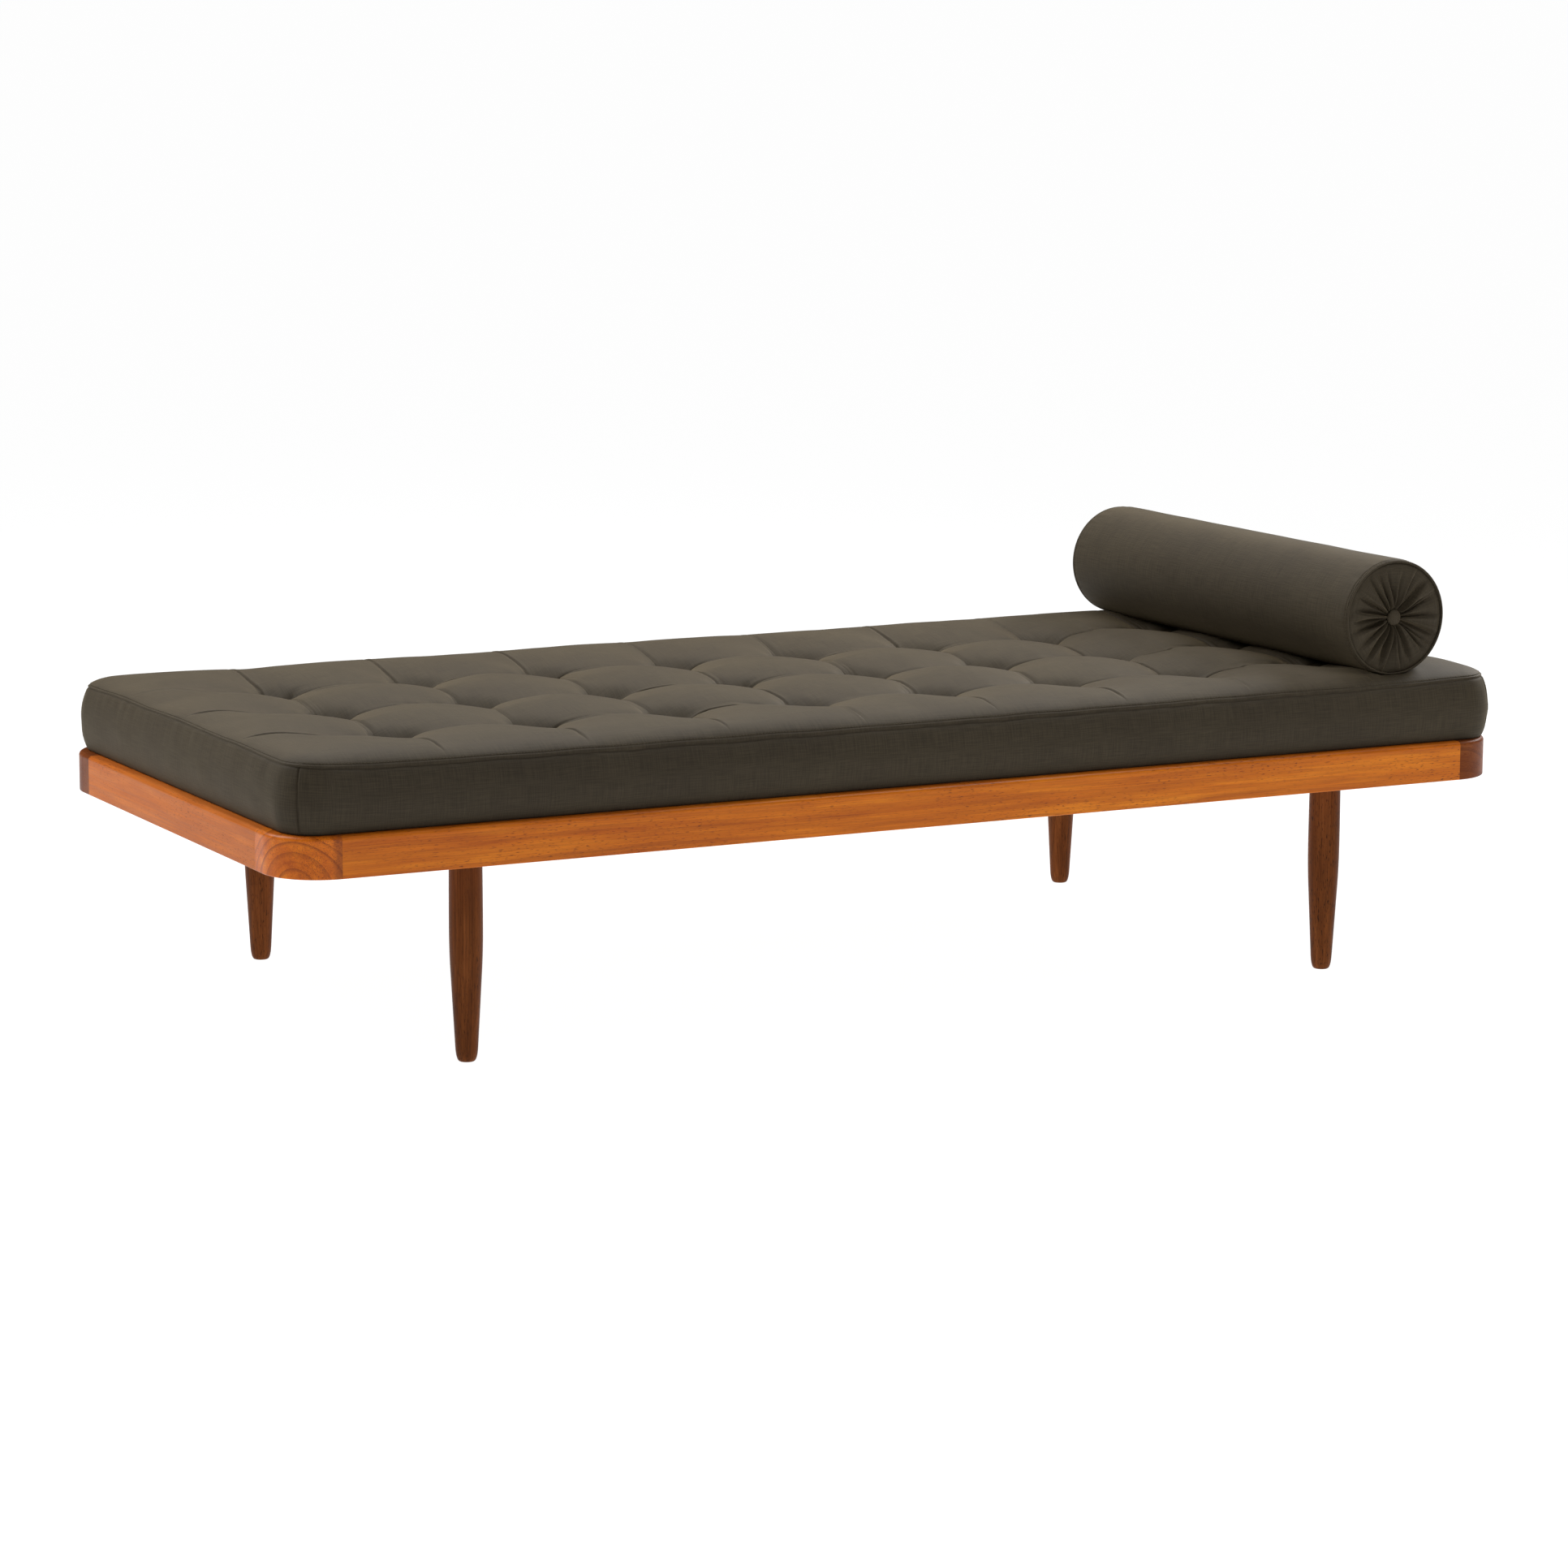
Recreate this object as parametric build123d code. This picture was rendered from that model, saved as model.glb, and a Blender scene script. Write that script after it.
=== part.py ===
from build123d import *
import math
import os

# A teak daybed: four slim rails and four quarter-round corner blocks on turned legs, a slatted
# deck, one loose square-tufted mattress and one loose bolster. Millimetres. X runs along the
# daybed, the front is at -Y and +Z is up. The origin is on the floor, under the frame's middle.

# Frame: rails and corner blocks
frame_length = 1900.0
frame_width = 850.0
rail_underside_height = 270.0
rail_height = 56.0
rail_thickness = 24.0
corner_radius = 79.0  # outer radius of a corner block, and its size from end face to side joint
block_end_reach = 105.0  # a corner block's size from the side face to its joint with an end rail
top_round = 6.0  # outer top edge, all round the frame
edge_ease = 1.5  # the other long edges

# Dowels, two in every butt joint between a rail and a corner block
dowel_diameter = 10.0
dowel_length = 44.0
dowel_in_block = 20.0
dowel_spacing = 28.0
dowel_clearance = 0.1
dowel_chamfer = 1.0
bore_overrun = 1.0  # how much deeper a blind bore is than what it holds

# Ledges inside the long rails, which carry the slats
ledge_width = 20.0
ledge_height = 16.0
ledge_end_gap = 12.0

# Slats, their tops level with the rails
slat_count = 13
slat_width = 60.0
slat_thickness = 12.0
slat_from_end = 140.0  # first slat's middle from the frame's end face
slat_end_gap = 1.0
slat_round = 2.0

# Bearers under the ledges: two carry the legs, the middle one ties the long rails
bearer_width = 95.0
middle_bearer_width = 60.0
bearer_thickness = 22.0
bearer_end_gap = 0.5

# Turned legs: a belly above the middle, a bend into a straight taper, and a rounded foot
leg_from_end = 275.0  # leg axis from the frame's end face
leg_from_side = 55.0  # leg axis from the rail's outer face
leg_top_diameter = 44.3
leg_belly_diameter = 45.2
leg_belly_height = 183.0
leg_bend_radius = 1136.0  # from the belly's upright tangent into the taper
leg_ankle_diameter = 30.6
leg_ankle_height = 20.0
leg_foot_flat = 18.0
leg_foot_taper = 2.2  # how much narrower than the ankle the foot's round starts

# Leg fixings: a steel plate with a threaded boss, and a hanger bolt in the leg
plate_size = 58.0
plate_thickness = 3.0
plate_corner = 8.0
plate_screw_spacing = 42.0
boss_diameter = 16.0
boss_height = 10.0
bolt_diameter = 8.0
bolt_in_leg = 36.0
bolt_above_leg = 22.0
bolt_clearance = 0.1
bolt_chamfer = 1.0
boss_clearance = 0.5

# Countersunk wood screws
slat_screw_diameter = 4.0
slat_screw_length = 25.0
ledge_screw_diameter = 4.0
ledge_screw_length = 34.0
bearer_screw_diameter = 5.0
bearer_screw_length = 33.0
plate_screw_diameter = 4.0
plate_screw_length = 17.0
screw_clearance = 0.1
ledge_screw_steps = (-4.5, -2.5, -0.5, 0.5, 2.5, 4.5)  # in slat pitches from the middle
bearer_screw_margin = 15.0  # from a bearer's long edge

# Mattress
mattress_side_margin = 6.0  # its sides stand this far inside the frame's outer faces
mattress_end_margin = 5.0  # and its ends, were it pushed to neither end
mattress_shift = 4.0  # how far it lies towards the bolster's end
mattress_thickness = 96.0
mattress_corner = 55.0
mattress_edge_round = 9.0
mattress_cover_thickness = 2.0
tuft_columns = 8
tuft_rows = 3
tuft_pitch = 207.0
tuft_shift = 5.0  # the tufts' middle from the mattress's, along X
tuft_tie_diameter = 3.0
tuft_bore_diameter = 4.5

# Bolster across the right end
bolster_diameter = 168.8
bolster_length = 769.0
bolster_from_end = 169.0  # bolster axis from the frame's end face
bolster_edge_round = 12.0
bolster_dish = 7.0  # how deep the button sits in the gathered end
bolster_swell = 0.7  # how much of that depth the end regains halfway out to its edge
bolster_cover_thickness = 2.0
button_diameter = 22.0
button_thickness = 9.0
button_rim = 3.0  # straight edge under the button's dome
button_seat_margin = 0.5

soft_gap = 0.3  # between a soft piece and what it rests on or is filled with

# Places that follow from the sizes above
rail_top = rail_underside_height + rail_height
half_length = frame_length / 2
half_width = frame_width / 2
long_rail_length = frame_length - 2 * corner_radius
end_rail_length = frame_width - 2 * block_end_reach
inner_half_width = half_width - rail_thickness
slat_underside = rail_top - slat_thickness
ledge_underside = slat_underside - ledge_height
bearer_underside = ledge_underside - bearer_thickness
plate_underside = bearer_underside - plate_thickness
leg_height = plate_underside
leg_x = half_length - leg_from_end
leg_y = half_width - leg_from_side
ledge_length = long_rail_length - 2 * ledge_end_gap
ledge_axis_y = inner_half_width - ledge_width / 2
ledge_middle_z = ledge_underside + ledge_height / 2
slat_pitch = (frame_length - 2 * slat_from_end) / (slat_count - 1)
mattress_length = frame_length - 2 * mattress_end_margin
mattress_width = frame_width - 2 * mattress_side_margin
mattress_underside = rail_top + soft_gap
mattress_top = mattress_underside + mattress_thickness
bolster_x = half_length - bolster_from_end
bolster_z = mattress_top + soft_gap + bolster_diameter / 2

SIDES = {
    "front_left": (-1, -1),
    "front_right": (1, -1),
    "back_right": (1, 1),
    "back_left": (-1, 1),
}


def upright_cylinder(diameter, height, underside=0.0):
    """A cylinder about Z that stands on the given height."""
    centre = Pos(0, 0, underside + height / 2)
    return centre * Cylinder(diameter / 2, height)


def screw_form(diameter, length, growth=0.0):
    """A countersunk screw with its head's face at the origin, pointing down. Growth widens it."""
    shank = diameter / 2 + growth
    head = diameter + growth
    with BuildPart() as form:
        with BuildSketch(Plane.XZ):
            with BuildLine():
                Polyline(
                    (0, 0),
                    (head, 0),
                    (shank, -diameter / 2),
                    (shank, -length + diameter / 2),
                    (0, -length - growth),
                    close=True,
                )
            make_face()
        revolve(axis=Axis.Z)
    return form.part


def screws_at(diameter, length, places):
    """Screws and their holes, one for each placed location."""
    solid = screw_form(diameter, length)
    hole = screw_form(diameter, length, screw_clearance)
    return [place * solid for place in places], [place * hole for place in places]


# Where the screws go
slat_xs = [(i - (slat_count - 1) / 2) * slat_pitch for i in range(slat_count)]
slat_screw_places = [Pos(x, side * ledge_axis_y, rail_top) for x in slat_xs for side in (-1, 1)]
ledge_screw_places = [
    Pos(step * slat_pitch, side * (inner_half_width - ledge_width), ledge_middle_z)
    * Rot(90 * side, 0, 0)
    for step in ledge_screw_steps
    for side in (-1, 1)
]
bearers = {
    "leg_bearer_left": (-leg_x, bearer_width),
    "leg_bearer_right": (leg_x, bearer_width),
    "middle_bearer": (0.0, middle_bearer_width),
}
bearer_screw_places = [
    Pos(x + across * (width / 2 - bearer_screw_margin), side * ledge_axis_y, bearer_underside)
    * Rot(180, 0, 0)
    for x, width in bearers.values()
    for across in (-1, 1)
    for side in (-1, 1)
]
plate_screw_places = [
    Pos(
        side_x * leg_x + across * plate_screw_spacing / 2,
        side_y * leg_y + along * plate_screw_spacing / 2,
        plate_underside,
    )
    * Rot(180, 0, 0)
    for side_x, side_y in SIDES.values()
    for across in (-1, 1)
    for along in (-1, 1)
]
slat_screws, slat_screw_holes = screws_at(
    slat_screw_diameter, slat_screw_length, slat_screw_places
)
ledge_screws, ledge_screw_holes = screws_at(
    ledge_screw_diameter, ledge_screw_length, ledge_screw_places
)
bearer_screws, bearer_screw_holes = screws_at(
    bearer_screw_diameter, bearer_screw_length, bearer_screw_places
)
plate_screws, plate_screw_holes = screws_at(
    plate_screw_diameter, plate_screw_length, plate_screw_places
)


def dowel_heights():
    """Heights of the two dowels in a joint."""
    middle = rail_underside_height + rail_height / 2
    return [middle - dowel_spacing / 2, middle + dowel_spacing / 2]


def rail(length):
    """A rail along X with its outer face towards -Y, bored for the dowels in both ends."""
    body = Pos(0, 0, rail_underside_height + rail_height / 2) * Box(length, rail_thickness, rail_height)
    outer = body.edges().filter_by(Axis.X).group_by(Axis.Y)[0].sort_by(Axis.Z)
    body = fillet(outer[-1], top_round)
    outer_bottom = body.edges().filter_by(Axis.X).group_by(Axis.Z)[0]
    body = fillet(outer_bottom, edge_ease)
    inner_top = body.edges().filter_by(Axis.X).group_by(Axis.Y)[-1].sort_by(Axis.Z)[-1]
    body = fillet(inner_top, edge_ease)
    depth = dowel_length - dowel_in_block + bore_overrun
    bore = Rot(0, 90, 0) * Cylinder(dowel_diameter / 2 + dowel_clearance, 2 * depth)
    bores = [Pos(end * length / 2, 0, z) * bore for end in (-1, 1) for z in dowel_heights()]
    return body - bores


def corner_block():
    """The front left block: round outside, with a flat across the inside corner."""
    inner = corner_radius - rail_thickness
    joint = block_end_reach - corner_radius
    middle = corner_radius * math.sqrt(0.5)
    outline = [
        Line((0, -inner), (0, -corner_radius)),
        ThreePointArc((0, -corner_radius), (-middle, -middle), (-corner_radius, 0)),
        Line((-corner_radius, 0), (-corner_radius, joint)),
        Line((-corner_radius, joint), (-inner, joint)),
        Line((-inner, joint), (-inner, 0)),
        Line((-inner, 0), (0, -inner)),
    ]
    block = Pos(0, 0, rail_underside_height) * extrude(make_face(outline), rail_height)
    for height, rounding in ((-1, top_round), (0, edge_ease)):
        rim = block.edges().group_by(Axis.Z)[height]
        straight = rim.filter_by(Axis.Y).sort_by(Axis.X)[:1]
        block = fillet(rim.filter_by(GeomType.CIRCLE) + straight, rounding)
    depth = dowel_in_block + bore_overrun
    middle_line = corner_radius - rail_thickness / 2
    bore = Cylinder(dowel_diameter / 2 + dowel_clearance, 2 * depth)
    bores = [Pos(0, -middle_line, z) * Rot(0, 90, 0) * bore for z in dowel_heights()]
    bores += [Pos(-middle_line, joint, z) * Rot(90, 0, 0) * bore for z in dowel_heights()]
    return block - bores


def at_corner(piece, name):
    """Mirrors and moves a piece from the front left corner's own centre to the named corner."""
    side_x, side_y = SIDES[name]
    if side_x > 0:
        piece = mirror(piece, about=Plane.YZ)
    if side_y > 0:
        piece = mirror(piece, about=Plane.XZ)
    centre = Pos(side_x * (half_length - corner_radius), side_y * (half_width - corner_radius), 0)
    return centre * piece


def corner_dowels(name):
    """The four dowels of one corner."""
    peg = chamfer(Cylinder(dowel_diameter / 2, dowel_length).edges(), dowel_chamfer)
    middle_line = corner_radius - rail_thickness / 2
    into_rail = dowel_length / 2 - dowel_in_block
    beyond = block_end_reach - corner_radius + into_rail
    pegs = [Pos(into_rail, -middle_line, z) * Rot(0, 90, 0) * peg for z in dowel_heights()]
    pegs += [Pos(-middle_line, beyond, z) * Rot(90, 0, 0) * peg for z in dowel_heights()]
    return [at_corner(one, name) for one in pegs]


def ledge(side):
    """A batten along the inside of a long rail."""
    batten = Box(ledge_length, ledge_width, ledge_height)
    holes = slat_screw_holes + ledge_screw_holes + bearer_screw_holes
    near = [hole for hole in holes if hole.center().Y * side > 0]
    return Pos(0, side * ledge_axis_y, ledge_middle_z) * batten - near


def slat(index):
    """A slat across the frame, screwed down to both ledges."""
    length = 2 * (inner_half_width - slat_end_gap)
    board = Box(slat_width, length, slat_thickness)
    board = fillet(board.edges().filter_by(Axis.Y), slat_round)
    board = Pos(slat_xs[index], 0, rail_top - slat_thickness / 2) * board
    return board - slat_screw_holes[2 * index : 2 * index + 2]


def bearer(x, width, carries_legs):
    """A board across the frame under the ledges, bored for the leg plates where it has legs."""
    length = 2 * (inner_half_width - bearer_end_gap)
    board = Pos(x, 0, bearer_underside + bearer_thickness / 2) * Box(width, length, bearer_thickness)
    cuts = [hole for hole in bearer_screw_holes if abs(hole.center().X - x) < width / 2]
    if carries_legs:
        cuts += [hole for hole in plate_screw_holes if abs(hole.center().X - x) < width / 2]
        boss_bore = upright_cylinder(
            boss_diameter + 2 * boss_clearance, boss_height + bore_overrun
        )
        bolt_bore = upright_cylinder(bolt_diameter + 2 * boss_clearance, bearer_thickness)
        for side in (-1, 1):
            place = Pos(x, side * leg_y, bearer_underside)
            cuts += [place * boss_bore, place * bolt_bore]
    return board - cuts


def leg_plate(name):
    """A square steel plate with a threaded boss, on the underside of a leg bearer."""
    side_x, side_y = SIDES[name]
    sheet = Pos(0, 0, plate_thickness / 2) * Box(plate_size, plate_size, plate_thickness)
    sheet = fillet(sheet.edges().filter_by(Axis.Z), plate_corner)
    boss = upright_cylinder(boss_diameter, plate_thickness + boss_height)
    thread = upright_cylinder(bolt_diameter + 2 * bolt_clearance, plate_thickness + boss_height)
    body = Pos(side_x * leg_x, side_y * leg_y, plate_underside) * (sheet + boss - thread)
    reach = plate_size / 2
    near = [
        hole
        for hole in plate_screw_holes
        if abs(hole.center().X - side_x * leg_x) < reach and hole.center().Y * side_y > 0
    ]
    return body - near


def leg_outline():
    """Half of a leg's outline in the XZ plane, from the floor up to its flat top."""
    belly = leg_belly_diameter / 2
    ankle = leg_ankle_diameter / 2
    foot = ankle - leg_foot_taper / 2
    bend_centre = belly - leg_bend_radius
    out = ankle - bend_centre
    down = leg_belly_height - leg_ankle_height
    turn = math.atan2(down, out) - math.acos(leg_bend_radius / math.hypot(out, down))
    knee = (
        bend_centre + leg_bend_radius * math.cos(turn),
        leg_belly_height - leg_bend_radius * math.sin(turn),
    )
    return [
        Line((0, 0), (leg_foot_flat / 2, 0)),
        Bezier((leg_foot_flat / 2, 0), (foot, 0), (ankle, leg_ankle_height)),
        Line((ankle, leg_ankle_height), knee),
        TangentArc((belly, leg_belly_height), knee, tangent=(0, -1)),
        TangentArc((belly, leg_belly_height), (leg_top_diameter / 2, leg_height), tangent=(0, 1)),
        Line((leg_top_diameter / 2, leg_height), (0, leg_height)),
        Line((0, leg_height), (0, 0)),
    ]


def leg(name):
    """A turned leg, bored at the top for its hanger bolt."""
    side_x, side_y = SIDES[name]
    turning = revolve(Plane.XZ * make_face(leg_outline()), Axis.Z)
    depth = bolt_in_leg + bore_overrun
    bore = upright_cylinder(bolt_diameter + 2 * bolt_clearance, depth, leg_height - depth)
    return Pos(side_x * leg_x, side_y * leg_y, 0) * (turning - bore)


def leg_bolt(name):
    """A hanger bolt: its lower half holds in the leg, its upper half in the plate's boss."""
    side_x, side_y = SIDES[name]
    rod = upright_cylinder(bolt_diameter, bolt_in_leg + bolt_above_leg, leg_height - bolt_in_leg)
    return Pos(side_x * leg_x, side_y * leg_y, 0) * chamfer(rod.edges(), bolt_chamfer)


def mattress_block(inset, edge_round):
    """The mattress's form, drawn in by the given inset all round."""
    width = mattress_width - 2 * inset
    block = Box(mattress_length - 2 * inset, width, mattress_thickness - 2 * inset)
    block = fillet(block.edges().filter_by(Axis.Z), mattress_corner - inset)
    rims = block.faces().sort_by(Axis.Z)[-1].edges() + block.faces().sort_by(Axis.Z)[0].edges()
    block = fillet(rims, edge_round)
    return Pos(mattress_shift, 0, mattress_underside + mattress_thickness / 2) * block


def tuft_places():
    """The middles of the tufts' ties."""
    middle = Pos(mattress_shift + tuft_shift, 0, mattress_underside + mattress_thickness / 2)
    return [
        middle * Pos((i - (tuft_columns - 1) / 2) * tuft_pitch, (j - (tuft_rows - 1) / 2) * tuft_pitch)
        for i in range(tuft_columns)
        for j in range(tuft_rows)
    ]


def mattress_pieces():
    """The sewn cover, the foam core inside it, and the ties that pull the tufts down."""
    cavity = mattress_cover_thickness
    core_inset = cavity + soft_gap
    cover = mattress_block(0, mattress_edge_round)
    cover -= mattress_block(cavity, mattress_edge_round - cavity)
    core_height = mattress_thickness - 2 * core_inset
    bore = Cylinder(tuft_bore_diameter / 2, mattress_thickness)
    core = mattress_block(core_inset, mattress_edge_round - core_inset)
    core -= [place * bore for place in tuft_places()]
    tie = Cylinder(tuft_tie_diameter / 2, core_height)
    return cover, core, [place * tie for place in tuft_places()]


def bolster_form(inset):
    """The bolster's form along Y, drawn in by the given inset, with its ends dished."""
    radius = bolster_diameter / 2 - inset
    end = bolster_length / 2 - inset
    edge = bolster_edge_round - inset
    seat = button_diameter / 2 + button_seat_margin + inset
    dish = bolster_dish
    brow = ((seat + radius - edge) / 2, end - dish * (1 - bolster_swell))
    half = [
        Line((0, 0), (0, end - dish)),
        Line((0, end - dish), (seat, end - dish)),
        ThreePointArc((seat, end - dish), brow, (radius - edge, end)),
        RadiusArc((radius - edge, end), (radius, end - edge), edge),
        Line((radius, end - edge), (radius, 0)),
        Line((radius, 0), (0, 0)),
    ]
    one_end = revolve(make_face(half), Axis.Y)
    whole = one_end + mirror(one_end, about=Plane.XZ)
    return Pos(bolster_x, 0, bolster_z) * whole


def bolster_button(side):
    """A fabric-covered button, domed outwards, in the dish of a bolster's end."""
    radius = button_diameter / 2
    back = bolster_length / 2 - bolster_dish + soft_gap
    dome = button_thickness - button_rim
    dome_radius = (radius**2 + dome**2) / (2 * dome)
    lean = math.asin(radius / dome_radius) / 2
    brow = (dome_radius * math.sin(lean), button_thickness - dome_radius * (1 - math.cos(lean)))
    half = [
        Line((0, 0), (radius, 0)),
        Line((radius, 0), (radius, button_rim)),
        ThreePointArc((radius, button_rim), brow, (0, button_thickness)),
        Line((0, button_thickness), (0, 0)),
    ]
    button = Pos(0, back, 0) * revolve(make_face(half), Axis.Y)
    turn = 0 if side > 0 else 180
    return Pos(bolster_x, 0, bolster_z) * Rot(0, 0, turn) * button


def frame_pieces():
    """Every piece of the frame and its deck, by node name."""
    pieces = {}
    side_rail = Pos(0, rail_thickness / 2 - half_width, 0) * rail(long_rail_length)
    pieces["front_rail"] = side_rail - ledge_screw_holes
    pieces["back_rail"] = Rot(0, 0, 180) * side_rail - ledge_screw_holes
    end_rail = Pos(0, rail_thickness / 2 - half_length, 0) * rail(end_rail_length)
    pieces["right_end_rail"] = Rot(0, 0, 90) * end_rail
    pieces["left_end_rail"] = Rot(0, 0, 270) * end_rail
    block = corner_block()
    dowels = []
    for name in SIDES:
        pieces[f"corner_block_{name}"] = at_corner(block, name)
        dowels += corner_dowels(name)
    pieces["corner_dowels"] = dowels
    pieces["front_ledge"] = ledge(-1)
    pieces["back_ledge"] = ledge(1)
    for index in range(slat_count):
        pieces[f"slat_{index + 1:02d}"] = slat(index)
    for name, (x, width) in bearers.items():
        pieces[name] = bearer(x, width, x != 0)
    for name in SIDES:
        pieces[f"leg_plate_{name}"] = leg_plate(name)
        pieces[f"leg_bolt_{name}"] = leg_bolt(name)
        pieces[f"leg_{name}"] = leg(name)
    pieces["slat_screws"] = slat_screws
    pieces["ledge_screws"] = ledge_screws
    pieces["bearer_screws"] = bearer_screws
    pieces["plate_screws"] = plate_screws
    return pieces


def soft_pieces():
    """The mattress and the bolster, by node name."""
    cover, core, ties = mattress_pieces()
    sleeve = bolster_form(0) - bolster_form(bolster_cover_thickness)
    return {
        "mattress_cover": cover,
        "mattress_core": core,
        "tuft_ties": ties,
        "bolster_cover": sleeve,
        "bolster_core": bolster_form(bolster_cover_thickness + soft_gap),
        "bolster_button_front": bolster_button(-1),
        "bolster_button_back": bolster_button(1),
    }


def write(name, piece):
    """Writes one node, a single solid or a group of separate solids."""
    if isinstance(piece, list):
        piece = Compound(label=name, children=[Solid(one.solid().wrapped) for one in piece])
    export_step(piece, f"parts/{name}.step")


os.makedirs("parts", exist_ok=True)
for node, shape in {**frame_pieces(), **soft_pieces()}.items():
    write(node, shape)
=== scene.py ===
import itertools
import math
import bpy
import numpy as np
from mathutils import Matrix, Vector
from mathutils.bvhtree import BVHTree


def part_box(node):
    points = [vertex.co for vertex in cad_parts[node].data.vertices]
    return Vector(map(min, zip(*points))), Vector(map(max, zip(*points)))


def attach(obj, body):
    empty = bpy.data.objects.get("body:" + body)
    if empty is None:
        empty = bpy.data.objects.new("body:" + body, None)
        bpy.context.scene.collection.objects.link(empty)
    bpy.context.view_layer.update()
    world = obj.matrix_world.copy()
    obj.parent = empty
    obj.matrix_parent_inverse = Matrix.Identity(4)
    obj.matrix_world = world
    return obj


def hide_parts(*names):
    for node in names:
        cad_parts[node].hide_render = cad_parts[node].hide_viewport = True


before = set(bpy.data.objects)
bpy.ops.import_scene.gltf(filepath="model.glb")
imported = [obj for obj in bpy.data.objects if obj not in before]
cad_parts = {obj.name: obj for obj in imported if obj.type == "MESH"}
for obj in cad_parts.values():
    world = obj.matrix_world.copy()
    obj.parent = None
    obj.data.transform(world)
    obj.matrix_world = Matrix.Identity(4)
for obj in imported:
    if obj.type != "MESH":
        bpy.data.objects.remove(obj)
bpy.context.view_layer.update()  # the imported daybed, in metres: frame, mattress and bolster are its bodies
scene = bpy.context.scene
scene.view_settings.view_transform = "Standard"
print("frame loaded:", len(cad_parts), "nodes")


# Camera: standing off the front left corner, a little above the bolster, with a long lens
cameraView = {
    "place": (-3.2028, -6.1175, 1.4421),
    "turn": 27.555,  # degrees from +Y towards +X
    "dip": 9.682,  # degrees below the horizon
    "roll": 0.2656,
    "focalLength": 111.43,  # millimetres, on the sensor below
    "sensorWidth": 36.0,
    "clip": (0.1, 400.0),
}


def makeCamera(view):
    lens = bpy.data.cameras.new("daybedCamera")
    lens.lens = view["focalLength"]
    lens.sensor_width = view["sensorWidth"]
    lens.clip_start, lens.clip_end = view["clip"]
    camera = bpy.data.objects.new("daybedCamera", lens)
    scene.collection.objects.link(camera)
    camera.matrix_world = Matrix.Translation(view["place"])
    for angle, axis in ((-view["turn"], "Z"), (90 - view["dip"], "X"), (view["roll"], "Z")):
        camera.matrix_world = camera.matrix_world @ Matrix.Rotation(math.radians(angle), 4, axis)
    scene.camera = camera


makeCamera(cameraView)


# Small helpers for materials and meshes

def linear(hexColour):  # an sRGB hex value as linear red, green, blue and alpha
    levels = [int(hexColour[i:i + 2], 16) / 255 for i in (1, 3, 5)]
    return tuple(v / 12.92 if v <= 0.04045 else ((v + 0.055) / 1.055) ** 2.4 for v in levels) + (1.0,)


def addNode(tree, kind, inputs=None, **settings):  # a node given as an input means its first output
    node = tree.nodes.new(kind)
    for name, value in settings.items():
        setattr(node, name, value)
    for key, value in (inputs or {}).items():
        if isinstance(value, bpy.types.Node):
            value = value.outputs[0]
        if isinstance(value, bpy.types.NodeSocket):
            tree.links.new(value, node.inputs[key])
        else:
            node.inputs[key].default_value = value
    return node


def grey(level):
    return (level, level, level, 1.0)


def setStops(ramp, stops):  # the stops of a colour ramp, as (position, colour)
    elements = ramp.color_ramp.elements
    while len(elements) > len(stops):
        elements.remove(elements[-1])
    while len(elements) < len(stops):
        elements.new(1.0)
    for element, (position, colour) in zip(elements, stops):
        element.position = position
        element.color = colour


def emptyMaterial(name):
    material = bpy.data.materials.new(name)
    material.use_nodes = True
    material.node_tree.nodes.clear()
    return material, material.node_tree


def meshPiece(name, points, faces, uvCorners=None, material=None):
    mesh = bpy.data.meshes.new(name)
    mesh.from_pydata([tuple(p) for p in points], [], faces)
    if uvCorners is not None:
        layer = mesh.uv_layers.new(name="cloth")
        layer.data.foreach_set("uv", np.asarray(uvCorners, dtype=np.float32).ravel())
    mesh.polygons.foreach_set("use_smooth", [True] * len(mesh.polygons))
    mesh.update()
    piece = bpy.data.objects.new(name, mesh)
    scene.collection.objects.link(piece)
    if material is not None:
        mesh.materials.append(material)
    return piece


# Wood. Growth rings are cylinders round a pith line, so a flat sawn face shows lines, a face
# cut across them shows arches, and pores run as short dark dashes along the grain.

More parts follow.
